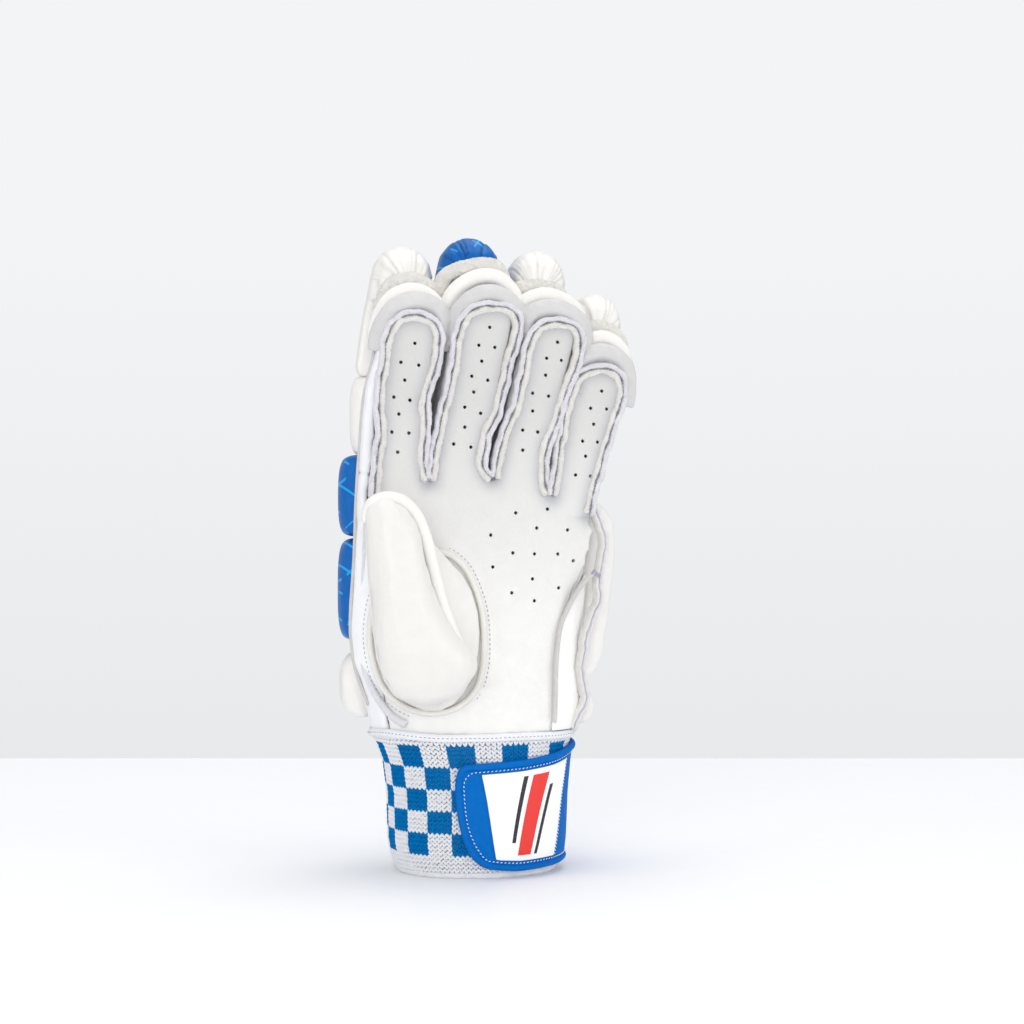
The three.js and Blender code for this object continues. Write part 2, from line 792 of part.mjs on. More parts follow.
// Leather funnel from the palm's oval up to the thumb's outline
function thumbFunnel(by, overshoot) {
  return loft([
    thumbRing('oval', by, leatherWall + overshoot),
    thumbRing('oval', by - 1, -0.3 * (thumbSeat - palmFront)),
    thumbRing('thumb', by, -thumbSeat + clearance - overshoot),
  ]);
}

function addThumb() {
  const seat = block(-far, far, -far, -thumbSeat, 0, far);
  const pad = thumbPadBody(0).subtract(thumbPadBody(-thumbWall)).intersect(seat);
  piece('thumb_pad', pad, whitePad);
  const funnel = thumbFunnel(0, 0).subtract(thumbFunnel(-leatherWall, 1));
  piece('thumb_stall', funnel, leather);

  // Piping round the tip and down the inner edge
  const off = thumbPipe + clearance;
  const route = [];
  for (let i = 0; i <= 14; i += 1) {
    const turn = ((-28 + 145 * (i / 14)) * Math.PI) / 180;
    const z = thumbFoot + thumbHeight * (0.5 + 0.49 * Math.cos(turn));
    const t = thumbSection(z);
    const middle = (t.left + t.right) / 2;
    const half = ((t.right - t.left) / 2) * Math.min(1, Math.abs(Math.sin(turn)) * 4);
    const x = middle + Math.sign(Math.sin(turn)) * (half + off * Math.abs(Math.sin(turn)) ** 0.5);
    route.push(new THREE.Vector3(x, -thumbSeat, z + off * Math.max(0, Math.cos(turn)) ** 0.5));
  }
  const room = thumbPadBody(clearance).add(thumbFunnel(clearance, 0));
  piece('thumb_piping', pipe(route, thumbPipe, 20, pipeSides).subtract(room), greyLeather);

  piece('thumb_rim', rimLoop(rimRadius).subtract(clearHand), greyLeather);
}

// Rolled rim of the palm's oval
function rimLoop(radius) {
  const rings = [];
  const turns = 28;
  for (let i = 0; i < turns; i += 1) {
    const turn = (2 * Math.PI * i) / turns;
    const x = holeX + holeHalfWidth * Math.sin(turn);
    const z = holeZ + holeHalfHeight * Math.cos(turn);
    const outward = new THREE.Vector3(Math.sin(turn), 0, Math.cos(turn));
    const centre = new THREE.Vector3(x, palmFrontAt(x, z) - rimRadius - clearance, z);
    const ring = [];
    for (let k = 0; k < pipeSides; k += 1) {
      const roll = (2 * Math.PI * k) / pipeSides;
      const spot = centre.clone().addScaledVector(outward, radius * Math.cos(roll));
      spot.y += radius * Math.sin(roll);
      ring.push(spot);
    }
    rings.push(ring);
  }
  return loopLoft(rings);
}

function cuffTube(by, low, high) {
  const between = cuffRows.map((row) => row.up * cuffHeight).filter((z) => z > low && z < high);
  const heights = [low, ...between, high];
  return loft(heights.map((z) => sectionRing(grown({ ...cuffSection(z), z }, by), palmSides)));
}

function addCuff() {
  const knitBand = cuffTube(0, hemHeight + clearance, cuffHeight);
  piece('cuff', knitBand.subtract(cuffTube(-cuffWall, 0, cuffHeight + 1)), knit);
  const hem = cuffTube(clearance, 0, hemHeight);
  piece('cuff_hem', hem.subtract(cuffTube(-cuffWall, -1, hemHeight + 1)), suede);
}

// Point on the cuff, turned from the front towards the little finger side
function cuffPoint(turnDegrees, z, out) {
  const s = cuffSection(z);
  const turn = (turnDegrees * Math.PI) / 180;
  const across = Math.sin(turn);
  const ahead = Math.cos(turn);
  const half = (s.right - s.left) / 2 + out;
  const depth = s.back + out;
  const scale = (Math.abs(across) ** s.power + Math.abs(ahead) ** s.power) ** (-1 / s.power);
  return new THREE.Vector3((s.left + s.right) / 2 + half * across * scale, -depth * ahead * scale, z);
}

// Curved plate on the cuff between two turns and two edges
function cuffPlate(from, to, lowEdge, highEdge, outIn, outFace, columns) {
  const rings = [];
  for (let i = 0; i <= columns; i += 1) {
    const turn = from + ((to - from) * i) / columns;
    const heights = [lowEdge(turn), cuffRows[2].up * cuffHeight, cuffRows[3].up * cuffHeight, highEdge(turn)];
    const outside = heights.map((z) => cuffPoint(turn, z, outFace));
    const inside = heights.map((z) => cuffPoint(turn, z, outIn)).reverse();
    rings.push([...outside, ...inside]);
  }
  return loft(rings);
}

function addStrap() {
  const lowEdge = (turn) => cuffHeight * tableValue(strapRows, 'turn', 'low', turn);
  const highEdge = (turn) => cuffHeight * tableValue(strapRows, 'turn', 'high', turn);
  const first = strapRows[0].turn;
  const last = strapRows[strapRows.length - 1].turn;
  const face = clearance + strapThickness;
  piece('strap', cuffPlate(first, last, lowEdge, highEdge, 1.4 * clearance, face, 26), strapFabric);
  const labelLow = (turn) => lowEdge(turn) + labelInset;
  const labelHigh = (turn) => highEdge(turn) - labelInset;
  const labelFace = face + clearance + labelThickness;
  const label = cuffPlate(labelStart, labelEnd, labelLow, labelHigh, face + clearance, labelFace, 8);
  piece('strap_label', label, labelFilm);

  // Round piping along the top edge, round the end and along the bottom edge
  const out = strapPipe + 1.5 * clearance;
  const off = strapPipe + 2.5 * clearance;
  const degree = (mm) => (mm / cuffHalfWidth) * (180 / Math.PI);
  const route = [];
  const back = 150;
  for (let turn = back; turn > first; turn -= 12) {
    route.push(cuffPoint(turn, highEdge(turn) + off, out));
  }
  route.push(cuffPoint(first - degree(off) * 0.7, highEdge(first) + 0.7 * off, out));
  route.push(cuffPoint(first - degree(off), (highEdge(first) + lowEdge(first)) / 2, out));
  route.push(cuffPoint(first - degree(off) * 0.7, lowEdge(first) - 0.7 * off, out));
  for (let turn = first + 4; turn < back; turn += 12) {
    route.push(cuffPoint(turn, lowEdge(turn) - off, out));
  }
  piece('strap_piping', pipe(route, strapPipe, 36, pipeSides), strapFabric);
}

addShell();
addFingers();
addWristRoll();
addSidePads();
addHeel();
addSideWelt();
addThumb();
addCuff();
addStrap();

// The origin lies on the floor under the middle of the glove's outer box
const reach = new THREE.Box3().setFromObject(glove);
const middle = reach.getCenter(new THREE.Vector3());
glove.position.set(-middle.x, -middle.y, -reach.min.z);

export default glove;
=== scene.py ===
import math

import bmesh
import bpy
import numpy as np
from mathutils import Matrix, Vector
from mathutils.bvhtree import BVHTree


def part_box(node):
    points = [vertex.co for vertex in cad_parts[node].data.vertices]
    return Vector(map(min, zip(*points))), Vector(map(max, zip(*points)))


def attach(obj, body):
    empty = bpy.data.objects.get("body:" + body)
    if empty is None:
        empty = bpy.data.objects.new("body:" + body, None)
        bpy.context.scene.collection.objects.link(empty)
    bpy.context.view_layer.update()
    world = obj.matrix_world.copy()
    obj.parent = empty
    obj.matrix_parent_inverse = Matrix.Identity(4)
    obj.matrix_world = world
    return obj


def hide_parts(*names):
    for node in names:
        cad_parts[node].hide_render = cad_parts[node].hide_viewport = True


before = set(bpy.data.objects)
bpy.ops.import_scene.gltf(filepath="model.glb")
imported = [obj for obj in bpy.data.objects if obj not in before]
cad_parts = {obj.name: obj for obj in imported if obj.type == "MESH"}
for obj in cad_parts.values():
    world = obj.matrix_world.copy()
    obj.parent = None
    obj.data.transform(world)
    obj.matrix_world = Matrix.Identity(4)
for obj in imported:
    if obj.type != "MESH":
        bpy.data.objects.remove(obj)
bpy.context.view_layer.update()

# The script works in millimetres in the glove's own frame: X right, palm towards -Y, Z up
cuffLow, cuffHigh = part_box("cuff")
cuffMiddleX = -4.65
gloveShift = Vector(((cuffLow[0] + cuffHigh[0]) * 500 - cuffMiddleX, (cuffLow[1] + cuffHigh[1]) * 500, 0))
toMetres = Matrix.Scale(0.001, 4) @ Matrix.Translation(gloveShift)
toMillimetres = toMetres.inverted()
fingerNames = ["index", "middle", "ring", "little"]
curveParts = 16
noiseSeed = np.random.default_rng(7)


# Mesh helpers

def newObject(name, mesh):
    obj = bpy.data.objects.new(name, mesh)
    bpy.context.scene.collection.objects.link(obj)
    return obj


def takeNode(*names):
    bm = bmesh.new()
    for name in names:
        bm.from_mesh(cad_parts[name].data)
    bmesh.ops.remove_doubles(bm, verts=bm.verts, dist=1e-6)
    bm.transform(toMillimetres)
    return bm


def modified(bm, *steps):
    mesh = bpy.data.meshes.new("work")
    bm.to_mesh(mesh)
    bm.free()
    obj = newObject("work", mesh)
    for kind, settings in steps:
        modifier = obj.modifiers.new(kind, kind)
        for key, value in settings.items():
            setattr(modifier, key, value)
    result = bpy.data.meshes.new_from_object(obj.evaluated_get(bpy.context.evaluated_depsgraph_get()))
    bpy.data.objects.remove(obj)
    bpy.data.meshes.remove(mesh)
    out = bmesh.new()
    out.from_mesh(result)
    bpy.data.meshes.remove(result)
    return out


def remeshed(bm, voxel, smooth=4):
    return modified(
        bm,
        ("REMESH", {"mode": "VOXEL", "voxel_size": voxel}),
        ("SMOOTH", {"factor": 0.5, "iterations": smooth}),
    )


def reshape(bm, shift):
    bm.normal_update()
    places = np.array([vert.co[:] for vert in bm.verts])
    normals = np.array([vert.normal[:] for vert in bm.verts])
    for vert, spot in zip(bm.verts, shift(places, normals)):
        vert.co = spot


# Stores at every point an amount of painted shade, which the piece's material reads back to darken its colour
def storePaintedShade(bm, paintedShades):
    layer = bm.verts.layers.float.new("painted_shade")
    for vert, painted_shade in zip(bm.verts, paintedShades):
        vert[layer] = float(painted_shade)


def finishPiece(name, bm, looks, nodes=()):
    bm.transform(toMetres)
    bmesh.ops.recalc_face_normals(bm, faces=bm.faces)
    mesh = bpy.data.meshes.new(name)
    bm.to_mesh(mesh)
    bm.free()
    mesh.shade_smooth()
    for look in looks:
        mesh.materials.append(look)
    obj = newObject(name, mesh)
    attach(obj, "root")
    if nodes:
        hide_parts(*nodes)
    return obj


# A smooth curve through the given points, as evenly spaced points
def smoothPath(points, step, closed=False):
    points = [Vector(point) for point in points]
    count = len(points)
    dense = []
    for i in range(count if closed else count - 1):
        if closed:
            a, b, c, d = (points[(i + k) % count] for k in (-1, 0, 1, 2))
        else:
            a, b, c, d = (points[min(count - 1, max(0, i + k))] for k in (-1, 0, 1, 2))
        for part in range(curveParts):
            t = part / curveParts
            square = (2 * a - 5 * b + 4 * c - d) * t * t
            cube = (3 * b - a - 3 * c + d) * t ** 3
            dense.append(0.5 * (2 * b + (c - a) * t + square + cube))
    dense.append(dense[0] if closed else points[-1])
    lengths = [0]
    for before, after in zip(dense, dense[1:]):
        lengths.append(lengths[-1] + (after - before).length)
    number = max(2, round(lengths[-1] / step))
    wanted = np.linspace(0, lengths[-1], number + 1)
    columns = [np.interp(wanted, lengths, [point[axis] for point in dense]) for axis in range(3)]
    path = [Vector(spot) for spot in zip(*columns)]
    return path[:-1] if closed else path


# Frames along a path: X across, Y outward, Z along
def stationsAlong(path, outward, closed=False, size=None):
    stations = []
    count = len(path)
    for i, point in enumerate(path):
        before = path[i - 1] if closed or i else path[0]
        after = path[(i + 1) % count] if closed or i < count - 1 else path[-1]
        along = (after - before).normalized()
        out = outward(point)
        out = (out - along * out.dot(along)).normalized()
        across = out.cross(along)
        station = Matrix((across, out, along)).transposed().to_4x4()
        station.translation = point
        if size:
            station = station @ Matrix.Scale(size(i / max(1, count - 1)), 4)
        stations.append(station)
    return stations


# Sweeps a closed profile, points of (across, out) in millimetres, along the stations
def sweep(profile, stations, closed=False):
    bm = bmesh.new()
    ring = bmesh.ops.create_circle(bm, segments=len(profile), radius=1)["verts"]
    for vert, (across, out) in zip(ring, profile):
        vert.co = (across, out, 0)
    bmesh.ops.transform(bm, matrix=stations[0], verts=ring)
    firstEdges = list(bm.edges)
    edges = firstEdges
    for before, after in zip(stations, stations[1:]):
        made = bmesh.ops.extrude_edge_only(bm, edges=edges)["geom"]
        edges = [item for item in made if isinstance(item, bmesh.types.BMEdge)]
        verts = [item for item in made if isinstance(item, bmesh.types.BMVert)]
        bmesh.ops.transform(bm, matrix=after @ before.inverted(), verts=verts)
    if closed:
        bmesh.ops.bridge_loops(bm, edges=edges + firstEdges)
    else:
        bmesh.ops.holes_fill(bm, edges=edges + firstEdges)
    bmesh.ops.recalc_face_normals(bm, faces=bm.faces)
    return bm


def roundProfile(width, height, sides=10, power=2.0):
    profile = []
    for i in range(sides):
        turn = 2 * math.pi * i / sides
        grow = (abs(math.cos(turn)) ** power + abs(math.sin(turn)) ** power) ** (-1 / power)
        profile.append((width / 2 * math.cos(turn) * grow, height / 2 * math.sin(turn) * grow))
    return profile


# Copies one small closed shape to many places
def scattered(template, matrices):
    places = np.array([vert.co[:] + (1,) for vert in template.verts])
    faces = [[vert.index for vert in face.verts] for face in template.faces]
    spots = np.concatenate([places @ np.array(matrix).T[:, :3] for matrix in matrices])
    allFaces = []
    for copy in range(len(matrices)):
        first = copy * len(places)
        allFaces += [[first + corner for corner in face] for face in faces]
    mesh = bpy.data.meshes.new("copies")
    mesh.from_pydata(spots.tolist(), [], allFaces)
    bm = bmesh.new()
    bm.from_mesh(mesh)
    bpy.data.meshes.remove(mesh)
    return bm


def pill(length, width, height, sides=6, rings=4):
    bm = bmesh.new()
    bmesh.ops.create_uvsphere(bm, u_segments=sides, v_segments=rings, radius=0.5)
    bmesh.ops.scale(bm, vec=(width, height, length), verts=bm.verts)
    bm.verts.index_update()
    return bm


def joinedMesh(*parts):
    out = bmesh.new()
    for part in parts:
        mesh = bpy.data.meshes.new("part")
        part.to_mesh(mesh)
        part.free()
        out.from_mesh(mesh)
        bpy.data.meshes.remove(mesh)
    return out


# Material helpers

def hexColour(code):
    values = [int(code[i:i + 2], 16) / 255 for i in (1, 3, 5)]
    return [value / 12.92 if value <= 0.04045 else ((value + 0.055) / 1.055) ** 2.4 for value in values] + [1]


def addNode(tree, kind, inputs=None, **settings):
    node = tree.nodes.new(kind)
    for key, value in settings.items():
        setattr(node, key, value)
    for key, value in (inputs or {}).items():
        if isinstance(value, bpy.types.NodeSocket):
            tree.links.new(value, node.inputs[key])
        else:
            node.inputs[key].default_value = value
    return node


def mathNode(tree, operation, *values):
    return addNode(tree, "ShaderNodeMath", dict(enumerate(values)), operation=operation).outputs[0]


def nodeGroup(name, inputs, outputs):
    group = bpy.data.node_groups.new(name, "ShaderNodeTree")
    for key, value in inputs.items():
        socket = group.interface.new_socket(key, in_out="INPUT", socket_type="NodeSocketFloat")
        socket.default_value = value
    for key in outputs:
        group.interface.new_socket(key, in_out="OUTPUT", socket_type="NodeSocketFloat")
    return group, group.nodes.new("NodeGroupInput").outputs, group.nodes.new("NodeGroupOutput").inputs


# Leather: fine pores and soft wrinkles
def makeGrainGroup():
    group, given, result = nodeGroup(
        "leather_grain",
        {"Pores": 1400, "Wrinkles": 90, "Pore Depth": 0.35, "Wrinkle Depth": 1},
        ["Height", "Tone"],
    )
    place = addNode(group, "ShaderNodeTexCoord").outputs["Object"]
    pores = addNode(group, "ShaderNodeTexVoronoi", {"Vector": place, "Scale": given["Pores"]}, feature="F1")
    wrinkle = addNode(
        group, "ShaderNodeTexNoise",
        {"Vector": place, "Scale": given["Wrinkles"], "Detail": 5, "Distortion": 0.6},
    )
    poreHeight = mathNode(group, "MULTIPLY", pores.outputs["Distance"], given["Pore Depth"])
    wrinkleHeight = mathNode(group, "MULTIPLY", wrinkle.outputs["Fac"], given["Wrinkle Depth"])
    total = mathNode(group, "ADD", poreHeight, wrinkleHeight)
    group.links.new(total, result["Height"])
    group.links.new(wrinkle.outputs["Fac"], result["Tone"])
    return group


# Suede, yarn and lint: short crossed fibres
def makeFuzzGroup():
    group, given, result = nodeGroup("fibre_fuzz", {"Fibres": 2600, "Clumps": 500}, ["Height", "Tone"])
    place = addNode(group, "ShaderNodeTexCoord").outputs["Object"]
    fibres = addNode(
        group, "ShaderNodeTexNoise",
        {"Vector": place, "Scale": given["Fibres"], "Detail": 3, "Distortion": 1.5},
    )
    clumps = addNode(group, "ShaderNodeTexNoise", {"Vector": place, "Scale": given["Clumps"], "Detail": 2})
    total = mathNode(group, "ADD", fibres.outputs["Fac"], clumps.outputs["Fac"])
    group.links.new(total, result["Height"])
    group.links.new(clumps.outputs["Fac"], result["Tone"])
    return group


# Handling marks: broad soft clouds
def makeSoilGroup():
    group, given, result = nodeGroup("soft_soil", {"Size": 22}, ["Tone"])
    place = addNode(group, "ShaderNodeTexCoord").outputs["Object"]
    cloud = addNode(group, "ShaderNodeTexNoise", {"Vector": place, "Scale": given["Size"], "Detail": 4})
    spread = addNode(
        group, "ShaderNodeMapRange", {"Value": cloud.outputs["Fac"], "From Min": 0.35, "From Max": 0.7}
    )
    group.links.new(spread.outputs["Result"], result["Tone"])
    return group


grainGroup = makeGrainGroup()
fuzzGroup = makeFuzzGroup()
soilGroup = makeSoilGroup()


def mixColour(tree, amount, first, second):
    mix = addNode(tree, "ShaderNodeMix", {"Factor": amount}, data_type="RGBA")
    for index, value in ((6, first), (7, second)):
        if isinstance(value, bpy.types.NodeSocket):
            tree.links.new(value, mix.inputs[index])
        else:
            mix.inputs[index].default_value = value
    return mix.outputs[2]


roughRange = dict(above=0.08, below=0.05)
reliefDepth = 0.0004


# A material of two close tones, a surface group and a bump
def makeLook(name, colour, shade, roughness, group, settings, bump, coat=0, sheen=0, soil=0.35, shine=0.4):
    material = bpy.data.materials.new(name)
    material.use_nodes = True
    tree = material.node_tree
    shader = tree.nodes["Principled BSDF"]
    surface = addNode(tree, "ShaderNodeGroup", node_tree=group)
    for key, value in settings.items():
        surface.inputs[key].default_value = value
    soiled = addNode(tree, "ShaderNodeGroup", node_tree=soilGroup)
    fine = mixColour(tree, surface.outputs["Tone"], hexColour(shade), hexColour(colour))
    amount = mathNode(tree, "MULTIPLY", soiled.outputs["Tone"], soil)
    base = mixColour(tree, amount, fine, hexColour(shade))
    tree.links.new(base, shader.inputs["Base Color"])
    rough = addNode(
        tree, "ShaderNodeMapRange",
        {
            "Value": surface.outputs["Tone"],
            "To Min": roughness + roughRange["above"], "To Max": roughness - roughRange["below"],
        },
    )
    tree.links.new(rough.outputs["Result"], shader.inputs["Roughness"])
    relief = addNode(
        tree, "ShaderNodeBump",
        {"Height": surface.outputs["Height"], "Strength": bump, "Distance": reliefDepth},
    )
    tree.links.new(relief.outputs["Normal"], shader.inputs["Normal"])
    shader.inputs["Coat Weight"].default_value = coat
    shader.inputs["Specular IOR Level"].default_value = shine
    shader.inputs["Sheen Weight"].default_value = sheen
    return material, tree, shader, base


# Paints shade into a look where the piece's stored painted-shade amount is high
def paintShadeByAttribute(tree, shader, base, colour, most):
    painted_shade = addNode(tree, "ShaderNodeAttribute", attribute_name="painted_shade")
    amount = mathNode(tree, "MULTIPLY", painted_shade.outputs["Fac"], most)
    tree.links.new(mixColour(tree, amount, base, hexColour(colour)), shader.inputs["Base Color"])


def plainLook(*look, **finish):
    return makeLook(*look, **finish)[0]


whiteLeather = plainLook(
    "white_leather", "#f3f1ec", "#e9e7e3", 0.42, grainGroup,
    {"Wrinkles": 130}, 0.45, coat=0.1,
)
gussetLook = plainLook("gusset_leather", "#f6f6f7", "#e9eaee", 0.6, grainGroup, {"Wrinkles": 110}, 0.5)
greyLeather = plainLook("grey_leather", "#d9d8d7", "#c7c6c6", 0.58, grainGroup, {"Wrinkles": 220}, 0.5)
suedeLook = plainLook("seam_suede", "#f3f2f5", "#dbd9df", 0.9, fuzzGroup, {}, 0.9, sheen=0.3)
seamCream = plainLook(
    "seam_cream", "#eceae6", "#d6d3ce", 0.85, fuzzGroup,
    {"Fibres": 1800}, 0.7, sheen=0.2,
)
bandLook = plainLook(
    "gathering_band", "#fdfbf5", "#f0ece4", 0.95, fuzzGroup,
    {"Fibres": 3200}, 1.0, sheen=0.4,
)
backLook = plainLook(
    "back_cloth", "#f8f8f8", "#eceef2", 0.85, fuzzGroup,
    {"Fibres": 1500}, 0.9, sheen=0.2,
)
knitWhite = plainLook(
    "knit_white", "#fdfdfe", "#f1f4f9", 0.9, fuzzGroup,
    {"Fibres": 4000}, 0.8, sheen=0.25, soil=0.1,
)
# Knit ground seen between the stitches: darker blue-grey than the yarn, painted shade for the gaps between
# stitches
knitGroundShade = plainLook(
    "knit_ground_painted_shade", "#b8c6d8", "#93a6c0", 0.95, fuzzGroup,
    {"Fibres": 3000}, 0.8, shine=0.1,
)
knitBlue = plainLook("knit_blue", "#0086d2", "#006cb0", 0.9, fuzzGroup, {"Fibres": 4000}, 0.8, shine=0.05)
strapLook = plainLook(
    "strap_fabric", "#0070c6", "#0060b2", 0.6, fuzzGroup,
    {"Fibres": 2000}, 0.35, shine=0.08,
)
threadLook = plainLook("thread", "#f4f6fa", "#d9dde8", 0.8, fuzzGroup, {"Fibres": 5000}, 0.5)
thumbLook = plainLook(
    "thumb_leather", "#ebe9e5", "#e1dfda", 0.45, grainGroup,
    {"Wrinkles": 130}, 0.45, coat=0.1,
)
heelLook = plainLook("heel_leather", "#d6d5d2", "#bdbbb7", 0.6, grainGroup, {"Wrinkles": 200}, 0.5)
# Thread in the seam valleys, darker than the real thread: partly its own grey, partly painted shade for the
# valley between the lips
gapThreadShade = plainLook("gap_thread_painted_shade", "#a3a4ae", "#868893", 0.85, fuzzGroup, {"Fibres": 5000}, 0.5)
# Stitches in blue-grey: white thread darkened as painted shade for the shadows in its needle holes
threadInPaintedShade = plainLook("thread_in_painted_shade", "#b9b8c8", "#9a99ab", 0.8, fuzzGroup, {"Fibres": 5000}, 0.5)


# Palm leather with painted shade: greyer higher up towards the finger panels, which face down and catch less
# light; with stored shade it is also darkened beside the seams, where the raised lips shade the panels
def makePalmLook(name, colour, shade, storedShade):
    look, tree, shader, base = makeLook(
        name, colour, shade, 0.56, grainGroup, {"Wrinkles": 160, "Pore Depth": 0.5}, 0.45, shine=0.3)
    place = addNode(tree, "ShaderNodeTexCoord").outputs["Object"]
    height = addNode(tree, "ShaderNodeSeparateXYZ", {0: place}).outputs["Z"]
    # Painted shade: the colour greys from 0.11 m to 0.21 m up, over the finger panels that face down
    share = addNode(tree, "ShaderNodeMapRange", {"Value": height, "From Min": 0.11, "From Max": 0.21})
    paintedPanelShade = mixColour(tree, share.outputs["Result"], base, hexColour("#cfcecc"))
    tree.links.new(paintedPanelShade, shader.inputs["Base Color"])
    if storedShade:
        # Painted shade beside the seams, in blue-grey
        paintShadeByAttribute(tree, shader, paintedPanelShade, "#8c8e9a", 0.6)
    return look


# Strokes on the blue: turn and spacing of each direction, width in millimetres, share that breaks leave out
strokeForm = dict(directions=[(0.9, 9.5), (-0.75, 15)], width=0.9, breaks=0.47)


# Coated blue with broken light-blue slanted strokes, in two crossing directions; with stored shade it is
# darkened where the stored amount is high, painted shade in the bottoms of folds
def makeBlueLook(name, storedShade):
    look, tree, shader, base = makeLook(
        name, "#006cbe", "#0058a4", 0.34, grainGroup, {"Wrinkles": 130}, 0.4, shine=0.2)
    place = addNode(tree, "ShaderNodeTexCoord").outputs["Object"]
    lines = []
    for turn, spacing in strokeForm["directions"]:
        mapped = addNode(tree, "ShaderNodeMapping", {"Vector": place, "Rotation": (0, turn, 0)})
        across = addNode(tree, "ShaderNodeSeparateXYZ", {0: mapped.outputs[0]}).outputs["X"]
        count = mathNode(tree, "MULTIPLY", across, 1000 / spacing)
        part = mathNode(tree, "FRACT", count)
        lines.append(mathNode(tree, "LESS_THAN", part, strokeForm["width"] / spacing))
    either = mathNode(tree, "MAXIMUM", *lines)
    patches = addNode(tree, "ShaderNodeTexNoise", {"Vector": place, "Scale": 120, "Detail": 0})
    kept = mathNode(tree, "GREATER_THAN", patches.outputs["Fac"], strokeForm["breaks"])
    strokes = mathNode(tree, "MULTIPLY", either, kept)
    printed = mixColour(tree, strokes, base, hexColour("#1ba0e2"))
    tree.links.new(printed, shader.inputs["Base Color"])
    if storedShade:
        # Painted shade in the folds, in deep blue
        paintShadeByAttribute(tree, shader, printed, "#002f6c", 0.85)
    return look


# Printed end tab of the strap: plain slanted stripes
labelStripes = [
    dict(middle=0.52, half=0.1, colour="#e4322b", low=0.06, high=0.94),
    dict(middle=0.34, half=0.025, colour="#26272b", low=0.2, high=0.94),
    dict(middle=0.7, half=0.025, colour="#26272b", low=0.06, high=0.8),
]
labelSlant = 0.22


def makeLabelLook():
    look, tree, shader, base = makeLook(
        "label_film", "#fafaf8", "#f3f3f1", 0.35, grainGroup, {"Wrinkles": 60, "Pore Depth": 0.05}, 0.15)
    spot = addNode(tree, "ShaderNodeUVMap", uv_map="UVMap").outputs["UV"]
    parts = addNode(tree, "ShaderNodeSeparateXYZ", {0: spot})
    lean = mathNode(tree, "MULTIPLY", parts.outputs["Y"], labelSlant)
    shifted = mathNode(tree, "SUBTRACT", parts.outputs["X"], lean)
    colour = base
    for stripe in labelStripes:
        low, high = stripe["low"], stripe["high"]
        near = mathNode(tree, "COMPARE", shifted, stripe["middle"] - labelSlant / 2, stripe["half"])
        tall = mathNode(tree, "COMPARE", parts.outputs["Y"], (low + high) / 2, (high - low) / 2)
        both = mathNode(tree, "MULTIPLY", near, tall)
        colour = mixColour(tree, both, colour, hexColour(stripe["colour"]))
    tree.links.new(colour, shader.inputs["Base Color"])
    return look


# White cap leather, darkened by painted shade where the stored amount is high, in the bottoms of its gathers
def makeCapLook():
    look, tree, shader, base = makeLook(
        "cap_leather", "#f3f1ec", "#e9e7e3", 0.42, grainGroup, {"Wrinkles": 130}, 0.45, coat=0.1)
    paintShadeByAttribute(tree, shader, base, "#9f998c", 0.6)
    return look


palmLook = makePalmLook("palm_leather", "#f1f0ee", "#e6e5e3", True)
patchLook = makePalmLook("patch_leather", "#f8f7f5", "#eeedeb", False)
blueLeather = makeBlueLook("blue_padding", False)
capBlue = makeBlueLook("cap_blue", True)
capWhite = makeCapLook()
labelLook = makeLabelLook()


# Palm leather: smoothed copy of the solid, creased, with the air holes cut through

creases = [
    dict(course=[(-30, 92), (-12, 84), (8, 88), (22, 80)], depth=0.9, width=2.2),
    dict(course=[(-6, 78), (10, 74), (24, 70)], depth=0.8, width=2.0),
    dict(course=[(-24, 168), (-6, 166), (14, 164), (34, 158)], depth=0.5, width=3.0),
    dict(course=[(-20, 152), (-8, 138), (-2, 118), (2, 98)], depth=0.7, width=4.0),
    dict(course=[(20, 104), (12, 92), (10, 78)], depth=0.7, width=2.6),
    dict(course=[(34, 150), (26, 132), (24, 112)], depth=0.6, width=3.4),
]
airHoles = dict(
    radius=0.78, depth=8,
    spots=[
        (-34.3, 234.2), (-40.5, 225.8), (-32.6, 224.6), (-38.8, 218), (-43.6, 210.5),
        (-36.5, 209.2), (-41.4, 203.1),
        (-44.5, 195.2), (-37, 194.8), (-41.9, 186.4),
        (-0.8, 241.8), (-5.7, 233.8), (1.5, 233), (-4.4, 226.8), (-8.9, 220.1), (-1.7, 218.4), (-8, 213.1),
        (-12, 206.4), (-4.9, 203.8), (-12, 197.6), (-17, 190.1), (-9.3, 188.8),
        (30, 235.7), (25, 228.5), (31.8, 227.7), (24.5, 221), (18.6, 212.9), (25.9, 211.7), (18.6, 205),
        (14.1, 196.5), (20.9, 195.7), (14.1, 187.6),
        (50.2, 214.2), (45.1, 206.5), (52.5, 206.2), (46.5, 199.4), (41.4, 191.8), (48.3, 191.4),
        (42.8, 185.1),
        (38.2, 176.7), (45.1, 176.2),
        (10.9, 159.8), (25.5, 161.5), (20.5, 153.1), (35, 152.2), (-0.4, 150), (9.6, 142.1), (19.5, 141.6),
        (30.5, 141.5), (37.8, 138.4), (0.5, 135.9), (18.6, 130.5), (30.9, 126.4), (9.1, 124.4), (19.5, 120.8),
    ],
)


